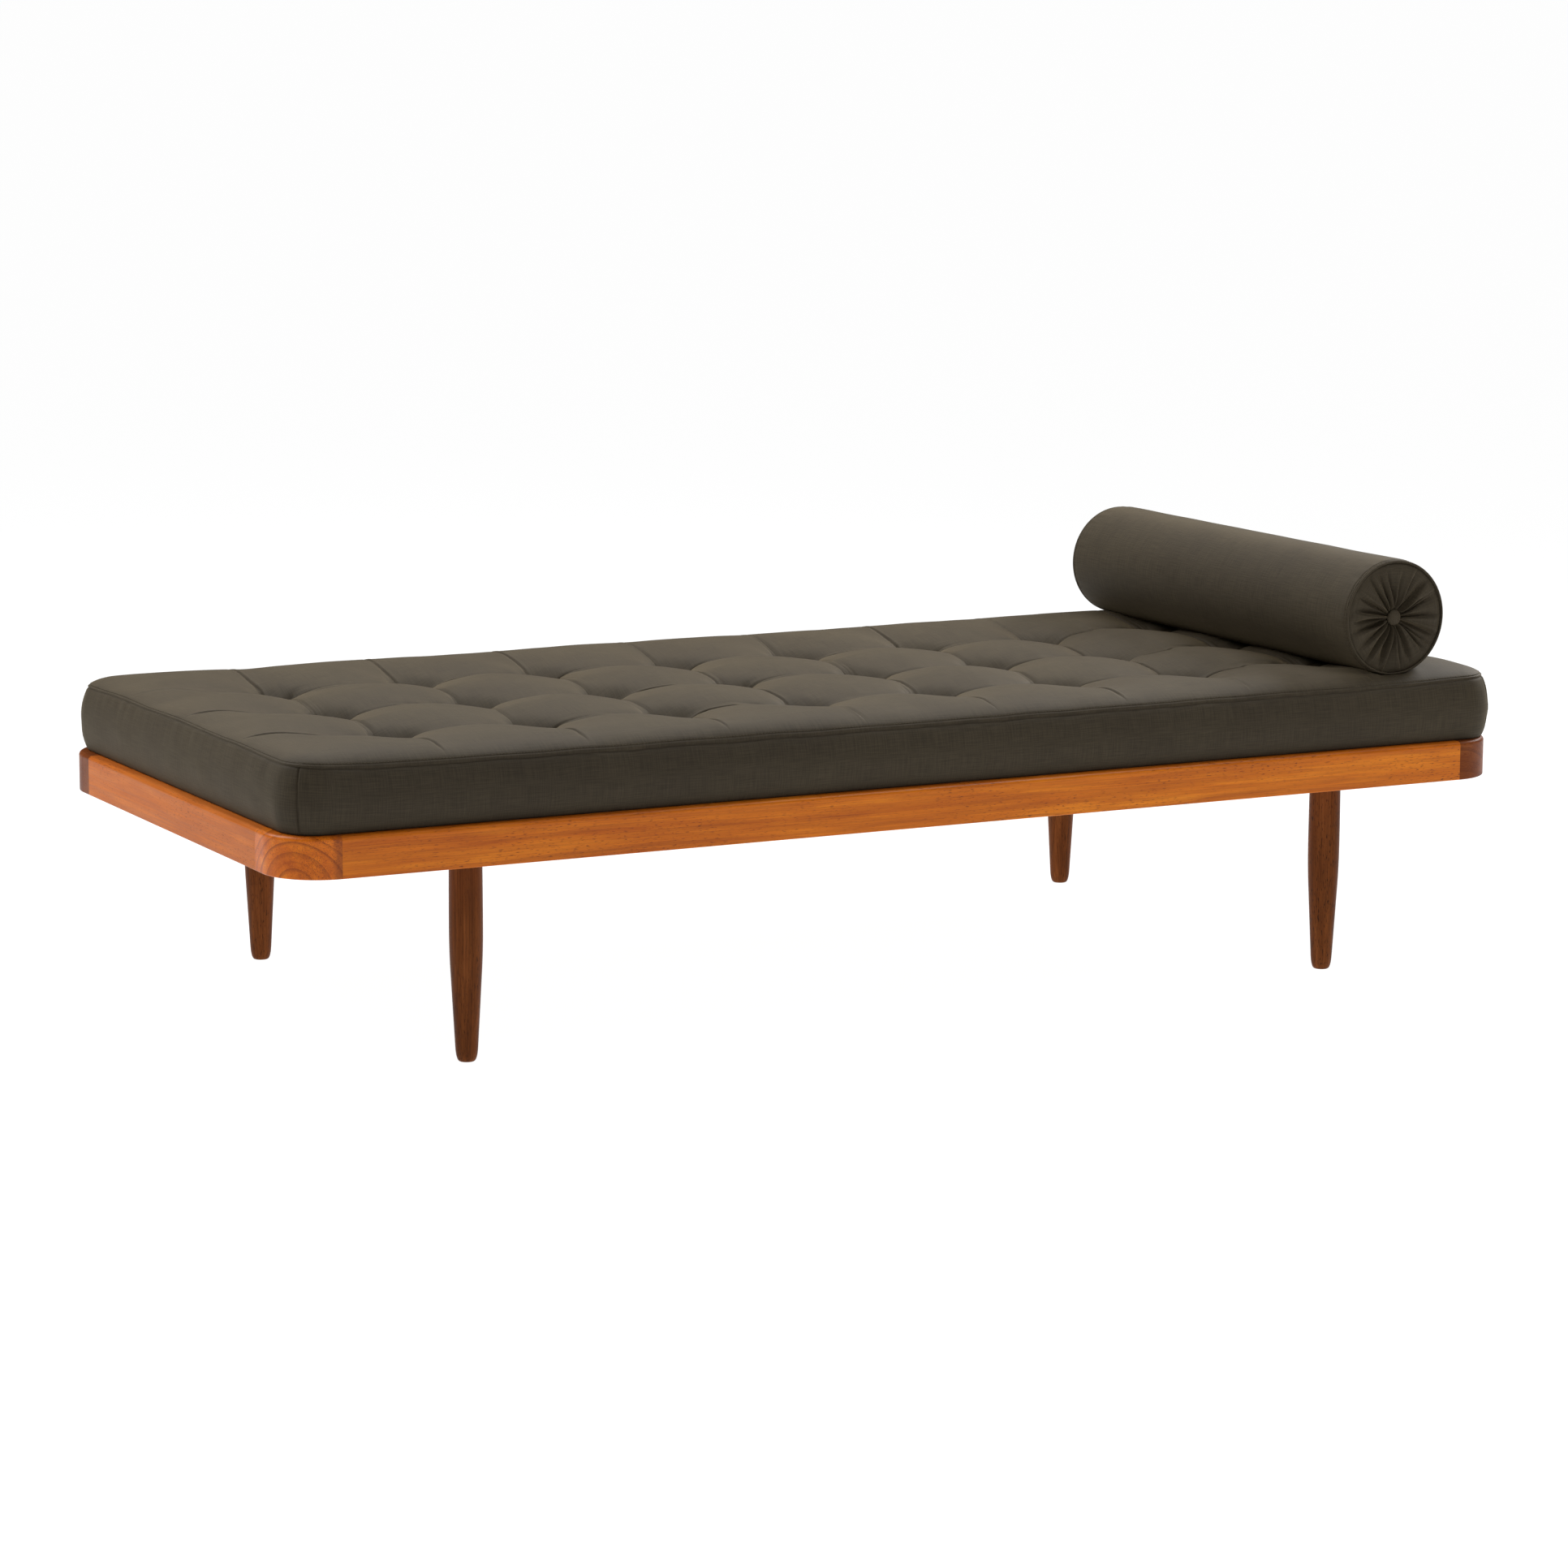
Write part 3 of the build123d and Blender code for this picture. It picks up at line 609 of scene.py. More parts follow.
def mattressLayout(linesX, linesY, steps, sizes):  # the cover as a top grid and rings down the border
    flat = np.array(np.meshgrid(linesX, linesY, indexing="ij"))
    plan, inside = roundedPlan(flat, sizes)
    height = mattressHeight(flat, plan, inside, sizes)
    stray, strayLength = sizes["stray"]
    strayHere = stray * smoothStep(wayIn(flat, sizes).min(0), 0.0, sizes["strayStart"])
    moved = [plan[i] + strayHere * ripple(*flat, 21 + i, 6, strayLength) for i in (0, 1)]
    top = np.stack([*moved, height], axis=-1)
    rim = rimOrder(len(linesX), len(linesY))
    rimPoints = top.reshape(-1, 3)[rim]
    rimFlat = np.stack(flat, axis=-1).reshape(-1, 2)[rim]
    half = np.array(halfSizes(sizes))
    cornerMiddle = half - sizes["cornerRadius"]
    beyond = np.clip(np.abs(rimPoints[:, :2]) - cornerMiddle, 0.0, None)
    inCorner = beyond.min(1) > 0
    straight = np.sign(rimFlat) * np.isclose(np.abs(rimFlat), half)
    outward = np.where(inCorner[:, None], np.sign(rimPoints[:, :2]) * beyond, straight)
    outward /= np.linalg.norm(outward, axis=1, keepdims=True)
    lengths = np.linalg.norm(np.diff(rimPoints[:, :2], axis=0), axis=1)
    around = np.concatenate([[0.0], np.cumsum(lengths)])
    fullRound = around[-1] + np.linalg.norm(rimPoints[-1, :2] - rimPoints[0, :2])
    turned = np.degrees(np.arctan2(np.abs(outward[:, 1]), np.abs(outward[:, 0])))  # 45 in a corner's middle
    bottom = coverLow[2] + sizes["clearance"]
    level = seamLevel(rimPoints[:, :2].T, sizes)
    rings = []
    for step in steps:
        full = sizes["bulge"] * (1 - (2 * step - 1) ** 2) ** 0.80 + sizes["tuck"] * step
        pucker = sizes["pucker"] * ripple(around, around * 0, 5, 6, 0.045) * math.exp(-step / 0.22)
        drape = sizes["drape"] * ripple(around, around * 0 + step * 0.4, 6, 6, 0.16)
        drape = drape * math.sin(math.pi * step)
        out = full + pucker + drape
        ring = rimPoints[:, :2] + outward * out[:, None]
        rings.append(np.column_stack([ring, level - step * (level - bottom)]))
    return {
        "flat": flat,
        "inside": inside,
        "top": top,
        "rim": rim,
        "around": around,
        "fullRound": fullRound,
        "outward": outward,
        "turned": turned,
        "rings": np.array(rings),
        "bottom": bottom,
    }


def closeMattress(name, shape, keepEvery, material):  # faces of the top, the border and a flat underside
    top = shape["top"]
    countX, countY = top.shape[:2]
    rim = shape["rim"]
    rimCount = len(rim)
    around = shape["around"]
    turnedUnder, lifted = 0.0045, 0.0002  # the border's lowest ring lies this far in and up
    tuckedRing = np.column_stack([
        shape["rings"][-1][:, :2] - shape["outward"] * turnedUnder,
        np.full(rimCount, shape["bottom"] + lifted),
    ])
    rings = list(shape["rings"]) + [tuckedRing]
    flat = np.stack(shape["flat"], axis=-1).reshape(-1, 2)
    faces = [tuple(f) for f in gridFaces(countX, countY).tolist()]
    corners = [flat[v] for face in faces for v in face]
    upper = rim
    drop = 0.0
    previous = top.reshape(-1, 3)[rim]
    for k, ring in enumerate(rings):
        lower = countX * countY + k * rimCount + np.arange(rimCount)
        fall = drop + float(np.linalg.norm(ring - previous, axis=1).mean())
        for p in range(rimCount):
            q = (p + 1) % rimCount
            endRound = around[q] if q else shape["fullRound"]
            faces.append((int(upper[p]), int(lower[p]), int(lower[q]), int(upper[q])))
            corners += [(around[p], -drop), (around[p], -fall), (endRound, -fall), (endRound, -drop)]
        upper = lower
        drop = fall
        previous = ring
    keepX, keepY = [sorted({*range(0, count, keepEvery), count - 1}) for count in (countX, countY)]
    lastRing = np.full(countX * countY, -1)
    lastRing[rim] = upper
    pointCount = countX * countY + len(rings) * rimCount
    kept = top[np.ix_(keepX, keepY)] * np.array([0.985, 0.968, 0.0]) + np.array([0.0, 0.0, shape["bottom"]])
    under = pointCount + np.arange(len(keepX) * len(keepY)).reshape(len(keepX), len(keepY))
    points = np.concatenate([top.reshape(-1, 3)] + rings + [kept.reshape(-1, 3)])
    grid = np.arange(countX * countY).reshape(countX, countY)
    underFaces = []
    for a in range(len(keepX) - 1):
        for b in range(len(keepY) - 1):
            underFaces.append([under[a, b], under[a, b + 1], under[a + 1, b + 1], under[a + 1, b]])
        front = [lastRing[grid[i, 0]] for i in range(keepX[a], keepX[a + 1] + 1)]
        back = [lastRing[grid[i, -1]] for i in range(keepX[a], keepX[a + 1] + 1)]
        underFaces.append([under[a, 0], under[a + 1, 0]] + front[::-1])
        underFaces.append([under[a + 1, -1], under[a, -1]] + back)
    for b in range(len(keepY) - 1):
        left = [lastRing[grid[0, j]] for j in range(keepY[b], keepY[b + 1] + 1)]
        right = [lastRing[grid[-1, j]] for j in range(keepY[b], keepY[b + 1] + 1)]
        underFaces.append([under[0, b + 1], under[0, b]] + left)
        underFaces.append([under[-1, b], under[-1, b + 1]] + right[::-1])
    for face in underFaces:
        faces.append(tuple(int(v) for v in face))
        corners += [(points[v][0], points[v][1]) for v in face]
    return meshPiece(name, points, faces, corners, material)


def splineWeights(knots, targets):  # natural cubic spline from knot values to target values, as a matrix
    count = len(knots)
    gaps = np.diff(knots)
    system = np.zeros((count, count))
    right = np.zeros((count, count))
    system[0, 0] = system[-1, -1] = 1.0
    for k in range(1, count - 1):
        system[k, k - 1:k + 2] = gaps[k - 1], 2 * (gaps[k - 1] + gaps[k]), gaps[k]
        right[k, k - 1:k + 2] = 6 / gaps[k - 1], -6 / gaps[k - 1] - 6 / gaps[k], 6 / gaps[k]
    bends = np.linalg.solve(system, right)
    cell = np.clip(np.searchsorted(knots, targets, side="right") - 1, 0, count - 2)
    gap = gaps[cell]
    high = (targets - knots[cell]) / gap
    low = 1 - high
    weights = np.zeros((len(targets), count))
    rowNumbers = np.arange(len(targets))
    weights[rowNumbers, cell] += low
    weights[rowNumbers, cell + 1] += high
    weights += ((low ** 3 - low) * gap ** 2 / 6)[:, None] * bends[cell]
    weights += ((high ** 3 - high) * gap ** 2 / 6)[:, None] * bends[cell + 1]
    return weights


def stuffMattress(sizes, cloth):  # lets a coarse copy of the cover swell, and returns how it moved
    linesX, linesY = gridLines(sizes, [0], [0], cloth["cell"])
    steps = np.linspace(0.1, 1.0, 10)
    shape = mattressLayout(linesX, linesY, steps, sizes)
    dummy = closeMattress("stuffing", shape, 1, None)
    topCount = len(linesX) * len(linesY)
    rimCount = len(shape["rim"])
    pins = dummy.vertex_groups.new(name="sewn")
    total = len(dummy.data.vertices)
    rim = shape["rim"].tolist()
    pins.add(list(range(topCount + (len(steps) - 1) * rimCount, total)), 1.0, "REPLACE")
    pins.add(rim, cloth["seamHold"], "REPLACE")
    grid = np.arange(topCount).reshape(len(linesX), len(linesY))
    tufts = [np.abs(a[:, None] - b).argmin(0) for a, b in zip((linesX, linesY), tuftLines(sizes))]
    pins.add(grid[np.ix_(*tufts)].ravel().tolist(), 1.0, "REPLACE")
    modifier = dummy.modifiers.new("Cloth", "CLOTH")
    settings = modifier.settings
    for name, value in cloth["settings"].items():
        setattr(settings, name, value)
    border = dummy.vertex_groups.new(name="border")
    border.add(list(range(topCount, total)) + rim, 1.0, "REPLACE")
    settings.vertex_group_shrink = "border"
    settings.vertex_group_mass = "sewn"
    settings.effector_weights.gravity = 0.0
    modifier.collision_settings.use_collision = False
    modifier.collision_settings.use_self_collision = False
    modifier.point_cache.frame_start = 1
    modifier.point_cache.frame_end = cloth["frames"] + 2
    for frameNumber in range(1, cloth["frames"] + 1):
        scene.frame_set(frameNumber)
    settled = dummy.evaluated_get(bpy.context.evaluated_depsgraph_get()).data
    places = np.zeros((2, total * 3), dtype=np.float32)
    dummy.data.vertices.foreach_get("co", places[0])
    settled.vertices.foreach_get("co", places[1])
    moved = (places[1] - places[0]).reshape(-1, 3).astype(float)
    size = np.linalg.norm(moved, axis=1, keepdims=True)
    print("stuffing moved the cover up to", round(float(size.max()) * 1000, 1), "mm")
    moved *= cloth["cap"] * np.tanh(size / cloth["cap"]) / np.maximum(size, 1e-9)
    swell = moved[:topCount].reshape(len(linesX), len(linesY), 3)
    for _ in range(cloth["calming"]):  # small lumps are evened out, the rim stays where it is
        swell[1:-1] = 0.25 * swell[:-2] + 0.5 * swell[1:-1] + 0.25 * swell[2:]
        swell[:, 1:-1] = 0.25 * swell[:, :-2] + 0.5 * swell[:, 1:-1] + 0.25 * swell[:, 2:]
    scene.frame_set(1)
    bpy.data.objects.remove(dummy)
    return {
        "linesX": linesX,
        "linesY": linesY,
        "steps": np.concatenate([[0.0], steps]),
        "around": shape["around"],
        "fullRound": shape["fullRound"],
        "top": swell,
        "rings": np.concatenate([
            moved[:topCount][shape["rim"]][None],
            moved[topCount:topCount + len(steps) * rimCount].reshape(len(steps), rimCount, 3),
        ]),
    }


def creaseRelief(flat, inside, sizes):  # folds that run from tuft to tuft and out to the seam
    marks = tuftLines(sizes)
    dice = np.random.default_rng(sizes["seed"])
    relief = np.zeros_like(inside)
    edgeFade = smoothStep(inside, 0.005, 0.036)
    for i in (0, 1):
        across, along = flat[i], flat[1 - i]
        stops = marks[1 - i]
        for line in marks[i]:
            offset = across - line
            near = np.abs(along[..., None] - stops).min(-1)
            strength = 0.50 + 0.50 * np.exp(-near / 0.05)
            wave = 0.22 * np.sin(along * 19 + dice.uniform(0, 6))
            strength = strength * (0.85 + 0.3 * dice.random() + wave)
            lean = np.clip(2.2 * np.sin(along * 8 + dice.uniform(0, 6)), -1, 1)  # which side stands higher
            groove = -np.exp(-np.abs(offset) / sizes["creaseWidth"])
            beside = np.exp(-((np.abs(offset) - 0.0026) / 0.0024) ** 2)
            lip = sizes["lipShare"] * lean * np.sign(offset) * beside
            relief += sizes["creaseDepth"] * strength * (groove + lip) * edgeFade
    for tuftX, tuftY in itertools.product(*marks):
        awayX = flat[0] - tuftX
        awayY = flat[1] - tuftY
        close = np.hypot(awayX, awayY) < sizes["fanReach"]
        gatherX = awayX[close]
        gatherY = awayY[close]
        gathers = np.zeros_like(gatherX)
        for quarter in range(4):  # each fold may have others beside it, spreading from the tuft
            heading = quarter * math.pi / 2
            ahead = gatherX * math.cos(heading) + gatherY * math.sin(heading)
            side = gatherY * math.cos(heading) - gatherX * math.sin(heading)
            hand = dice.choice([-1, 1])
            for k in range(1, 1 + int(dice.choice([0, 1, 2, 3, 4]))):
                gap = hand * (k + dice.uniform(-0.2, 0.2)) * sizes["fanGap"]
                run = np.clip(ahead, 0.0, None)
                curve = gap * run / (run + 0.022)
                length = dice.uniform(*sizes["fanLength"])
                fold = np.exp(-np.abs(side - curve) / (0.0010 + 0.018 * run))
                gathers += fold * np.exp(-(run / length) ** 2) * smoothStep(ahead, 0.004, 0.020)
        relief[close] -= sizes["fanDepth"] * gathers
    return relief


def seamRelief(inside, sizes):  # groove at the seam, a raised band beside it and the stitched line
    full = sizes["crown"] - sizes["seamHeight"]
    climbed = np.hypot(inside, full * shoulderRise(inside, sizes))
    inset = sizes["stitchInset"]
    line = math.hypot(inset, full * float(shoulderRise(np.array(inset), sizes)))
    groove = -sizes["seamGroove"] * np.exp(-(climbed / 0.0013) ** 2)
    band = 0.0003 * np.exp(-((climbed - 0.5 * line) / (0.24 * line)) ** 2)
    stitched = -sizes["stitchGroove"] * np.exp(-((climbed - line) / 0.0011) ** 2)
    return groove + band + stitched


def buildMattress(sizes, cloth):
    edgeSteps = list(0.00045 * np.arange(14)) + list(0.00585 + 0.0012 * np.arange(1, 12) ** 1.55)
    markSteps = list(0.0007 * np.arange(15) ** 1.18)
    steps = np.concatenate([[0.008, 0.018, 0.03, 0.05], np.linspace(0.09, 0.93, 12), [0.965, 0.988, 1.0]])
    linesX, linesY = gridLines(sizes, edgeSteps, markSteps, sizes["gridGap"])
    shape = mattressLayout(linesX, linesY, steps, sizes)
    swell = stuffMattress(sizes, cloth)
    acrossX = splineWeights(swell["linesX"], linesX)
    acrossY = splineWeights(swell["linesY"], linesY)
    swollen = np.einsum("ai,bj,ijc->abc", acrossX, acrossY, swell["top"], optimize=True)
    shape["top"] = shape["top"] + swollen
    wrap = 6  # rim points taken twice, so that the spline closes smoothly
    knots = np.concatenate([
        swell["around"][-wrap:] - swell["fullRound"],
        swell["around"],
        swell["around"][:wrap] + swell["fullRound"],
    ])
    rings = np.concatenate([swell["rings"][:, -wrap:], swell["rings"], swell["rings"][:, :wrap]], axis=1)
    downward = splineWeights(swell["steps"], steps)
    roundabout = splineWeights(knots, shape["around"])
    swollen = np.einsum("ki,pj,ijc->kpc", downward, roundabout, rings, optimize=True)
    shape["rings"] = shape["rings"] + swollen
    normals = gridNormals(shape["top"])
    relief = creaseRelief(shape["flat"], shape["inside"], sizes)
    relief = relief + seamRelief(shape["inside"], sizes)
    shape["top"] = shape["top"] + normals * relief[..., None]
    drops = steps[:, None] * sizes["borderHeight"]
    groove = -sizes["borderGroove"] * np.exp(-(drops / 0.0013) ** 2)
    cornerArc = np.radians(shape["turned"] - 45) * sizes["cornerRadius"]
    joint = -sizes["jointGroove"] * np.exp(-(cornerArc / 0.0012) ** 2)
    bedding = np.minimum(1.0, (1.0 - steps) / 0.05)[:, None]
    out = groove + joint[None] * bedding
    shape["rings"][:, :, :2] += shape["outward"][None] * out[..., None]
    shape["top"][..., 0] += sizes["middle"]
    shape["rings"][..., 0] += sizes["middle"]
    shape["top"] = pressDown(shape["top"])
    piece = closeMattress("mattressCover", shape, 8, satinCloth)
    return piece, shape


stuffing = {  # how the coarse cover is blown up before its folds and seams are drawn on
    "cell": 0.0095,
    "seamHold": 0.8,
    "frames": 20,
    "cap": 0.008,  # the swelling is held under this
    "calming": 6,
    "settings": {
        "quality": 6,
        "mass": 0.12,
        "tension_stiffness": 12.0,
        "compression_stiffness": 12.0,
        "shear_stiffness": 8.0,
        "bending_stiffness": 2.4,
        "air_damping": 2.0,
        "use_pressure": True,
        "uniform_pressure_force": 1.7,
        "shrink_min": -0.004,  # the top is cut this much wider than the foam
        "shrink_max": 0.002,  # and the border this much shorter
    },
}
mattress, mattressShape = buildMattress(mattressSizes, stuffing)
print("mattress:", len(mattress.data.polygons), "faces")


# Sewing: Geometry Nodes lay stitches along a path, and run a welt's cord along one
sewing = {  # metres
    "stitch": {"pitch": 0.0046, "length": 0.0040, "thickness": 0.0008},
    "welt": {"thickness": 0.0034},
}


def sewingTree(name, sizes):  # an empty tree with an input for each size, its path made a curve
    tree = bpy.data.node_groups.new(name, "GeometryNodeTree")
    tree.interface.new_socket("Geometry", in_out="INPUT", socket_type="NodeSocketGeometry")
    for inputName in sizes:
        tree.interface.new_socket(inputName, in_out="INPUT", socket_type="NodeSocketFloat")
    tree.interface.new_socket("Geometry", in_out="OUTPUT", socket_type="NodeSocketGeometry")
    given = tree.nodes.new("NodeGroupInput")
    path = addNode(tree, "GeometryNodeMeshToCurve", {"Mesh": given.outputs["Geometry"]})
    return tree, given, path


def finishTree(tree, geometry, material):  # instances made real, shaded smooth and given their finish
    real = addNode(tree, "GeometryNodeRealizeInstances", {"Geometry": geometry})
    smooth = addNode(tree, "GeometryNodeSetShadeSmooth", {"Geometry": real})
    dressed = addNode(tree, "GeometryNodeSetMaterial", {"Geometry": smooth, "Material": material})
    addNode(tree, "NodeGroupOutput", {"Geometry": dressed})
    return tree


def stitchTree(material):
    tree, given, path = sewingTree("threadStitches", sewing["stitch"])
    spacing = {"Curve": path, "Length": given.outputs["pitch"]}
    spaced = addNode(tree, "GeometryNodeResampleCurve", spacing, mode="LENGTH")
    along = addNode(tree, "GeometryNodeInputTangent")
    facing = addNode(tree, "FunctionNodeAlignRotationToVector", {"Vector": along}, axis="Z")
    thread = addNode(tree, "GeometryNodeMeshUVSphere", {"Segments": 6, "Rings": 4, "Radius": 0.5})
    thick = given.outputs["thickness"]
    size = addNode(tree, "ShaderNodeCombineXYZ", {0: thick, 1: thick, 2: given.outputs["length"]})
    laying = {"Points": spaced, "Instance": thread, "Rotation": facing, "Scale": size}
    return finishTree(tree, addNode(tree, "GeometryNodeInstanceOnPoints", laying), material)


def weltTree(material):
    tree, given, path = sewingTree("weltCord", sewing["welt"])
    half = addNode(tree, "ShaderNodeMath", {0: given.outputs["thickness"], 1: 0.5}, operation="MULTIPLY")
    section = addNode(tree, "GeometryNodeCurvePrimitiveCircle", {"Resolution": 10, "Radius": half})
    cord = addNode(tree, "GeometryNodeCurveToMesh", {"Curve": path, "Profile Curve": section})
    return finishTree(tree, cord, material)


def sewn(name, loops, tree, values):  # runs a tree along closed loops of points, as one plain mesh
    mesh = bpy.data.meshes.new(name)
    points = np.concatenate(loops)
    edges = []
    start = 0
    for loop in loops:
        edges += [(start + k, start + (k + 1) % len(loop)) for k in range(len(loop))]
        start += len(loop)
    mesh.from_pydata([tuple(p) for p in points], edges, [])
    piece = bpy.data.objects.new(name, mesh)
    scene.collection.objects.link(piece)
    modifier = piece.modifiers.new("sewing", "NODES")
    modifier.node_group = tree
    for socket in tree.interface.items_tree:
        if socket.in_out == "INPUT" and socket.name in values:
            modifier[socket.identifier] = values[socket.name]
    evaluated = piece.evaluated_get(bpy.context.evaluated_depsgraph_get())
    made = bpy.data.meshes.new_from_object(evaluated)
    piece.modifiers.clear()
    piece.data = made
    made.name = name
    return piece


stitches = stitchTree(threadCloth)
welts = weltTree(satinCloth)


def seamPath(shape, sizes):  # the stitched line, found on the mattress by looking down from above
    surface = BVHTree.FromObject(mattress, bpy.context.evaluated_depsgraph_get())
    rimPoints = shape["top"].reshape(-1, 3)[shape["rim"]]
    found = []
    last = -1.0
    pathStep, lifted = 0.0035, 0.0001
    for p, place in enumerate(shape["around"]):
        if place - last < pathStep:
            continue
        last = place
        outward = Vector((*shape["outward"][p], 0.0))
        start = Vector(rimPoints[p]) - outward * sizes["stitchInset"]
        hit, normal, _, _ = surface.ray_cast(start + Vector((0, 0, 0.05)), Vector((0, 0, -1)), 0.1)
        if hit is not None:
            found.append(tuple(hit + normal * lifted))
    return np.array(found)


stitchedLine = seamPath(mattressShape, mattressSizes)
mattressStitches = sewn("mattressStitches", [stitchedLine], stitches, sewing["stitch"])
print("mattress stitches:", len(mattressStitches.data.polygons), "faces")


# Bolster: a filled roll with gathered ends, a thin welt round each and a covered button
bolsterSizes = {
    "radius": (bolsterHigh[2] - bolsterLow[2]) / 2,
    "half": bolsterHigh[1],
    "middleX": (bolsterLow[0] + bolsterHigh[0]) / 2,
    "middleZ": (bolsterLow[2] + bolsterHigh[2]) / 2,
    "flattened": 0.0020,  # how much the roll is pressed flat where it rests
    "unevenness": 0.0003,
    "drawnIn": 0.0016,  # how much thinner the roll is at its welts
    "discRadius": 0.0806,
    "dish": 0.0135,  # how deep the gathers go in under the button
    "dishReach": 0.0175,
    "rimDrop": 0.0060,  # how far the disc turns in towards its welt
    "weltInset": 0.0032,
    "weltProud": 0.0009,  # how far its cord's middle stands out past the disc
    "topstitch": 0.0088,  # from the end, on the body
    "stitchGroove": 0.0011,
    "stitchProud": 0.0001,
    "foldCount": 22,
    "foldDepth": 0.0125,
    "buttonRadius": 0.0112,
    "buttonHeight": 0.0053,
    "buttonTuck": 0.0034,  # how far its rim reaches back
    "buttonGathers": 17,
    "buttonSeat": 0.0066,
    "closingSeam": 305,  # degrees round from the head end, low at the back
    "closingGroove": 0.0014,
    "around": 528,
    "seed": 19,
}
clothToRadian = 0.0844  # metres of cloth to a radian round the bolster and its buttons


def bolsterFolds(sizes):  # one end's gathers, each with its own place, lean, depth and reach
    dice = np.random.default_rng(sizes["seed"])
    ends = []
    for _ in range(2):
        places = np.arange(sizes["foldCount"]) + dice.uniform(-0.30, 0.30, sizes["foldCount"])
        ends.append([
            {
                "angle": place * 2 * math.pi / sizes["foldCount"],
                "curl": dice.uniform(-0.10, 0.10),
                "lean": dice.choice([-1.0, 1.0, 1.0]),
                "width": dice.uniform(0.7, 1.4),
                "depth": dice.uniform(0.60, 1.15),
                "end": dice.uniform(0.93, 1.05),
            }
            for place in places
        ])
    return ends


def foldRelief(distance, angles, folds, sizes):  # how far the gathers go in, all round one ring
    share = np.array(distance / sizes["discRadius"])
    spacing = 2 * math.pi * distance / sizes["foldCount"]
    narrow = smoothStep(share, 0.10, 0.24)
    total = np.zeros_like(angles)
    for fold in folds:
        at = fold["angle"] + fold["curl"] * (share - 0.3)
        turnAway = (angles - at + math.pi) % (2 * math.pi) - math.pi
        arc = turnAway * distance * fold["lean"]
        steep = max(0.13 * spacing, 0.00060)
        gentle = 0.30 * spacing * fold["width"]
        inwards = np.exp(-(np.abs(arc) / steep) ** 1.3)
        outwards = np.exp(-(np.abs(arc) / gentle) ** 1.2)
        dip = np.where(arc > 0, inwards, outwards)
        crest = 0.36 * np.exp(-((arc - 2.4 * steep) / (1.5 * steep + 0.0008)) ** 2)
        fade = narrow * (1 - smoothStep(share, fold["end"] - 0.30, fold["end"])) ** 0.7
        total += fold["depth"] * fade * (crest - dip)
    return total * sizes["foldDepth"] * (1.0 - 0.45 * smoothStep(share, 0.3, 0.8))


def onAxis(distances, places, angles, sizes):  # ring points about the bolster's axis, flattened below
    x = sizes["middleX"] + distances * np.cos(angles)
    z = sizes["middleZ"] + distances * np.sin(angles)
    rest = sizes["middleZ"] - sizes["radius"] + sizes["flattened"]
    soft = 0.0012
    blend = np.clip(0.5 + (z - rest) / (2 * soft), 0.0, 1.0)
    z = rest * (1 - blend) + z * blend + soft * blend * (1 - blend)
    return np.column_stack([x, places, z])


def closedRings(name, rings, angles, texture, outwardFirst, material):  # rings joined, ends closed
    count = len(angles)
    points = np.concatenate(rings + [[rings[0].mean(0)], [rings[-1].mean(0)]])
    faces = []
    corners = []
    step = 2 * math.pi / count

    def addFace(*spots):
        if not outwardFirst:
            spots = spots[::-1]
        faces.append(tuple(spot[0] for spot in spots))
        corners.extend((spot[1] * clothToRadian, spot[2]) for spot in spots)

    for k in range(len(rings) - 1):
        for p in range(count):
            q = (p + 1) % count
            low, high = angles[p], angles[p] + step
            addFace(
                (k * count + p, low, texture[k]),
                (k * count + q, high, texture[k]),
                ((k + 1) * count + q, high, texture[k + 1]),
                ((k + 1) * count + p, low, texture[k + 1]),
            )
    last = len(rings) - 1
    for p in range(count):
        q = (p + 1) % count
        low, high = angles[p], angles[p] + step
        first = (len(rings) * count, low, texture[0])
        addFace(first, (q, high, texture[0]), (p, low, texture[0]))
        end = (len(rings) * count + 1, low, texture[last])
        addFace(end, (last * count + p, low, texture[last]), (last * count + q, high, texture[last]))
    return meshPiece(name, points, faces, corners, material)


def bolsterRadius(fromEnd, sizes):  # the body's radius: slightly drawn in at the welt and the topstitch
    drawn = sizes["drawnIn"] * math.exp(-max(fromEnd - 0.0050, 0.0) / 0.0040)
    pinched = sizes["stitchGroove"] * math.exp(-((fromEnd - sizes["topstitch"]) / 0.0012) ** 2)
    return sizes["radius"] - drawn - pinched


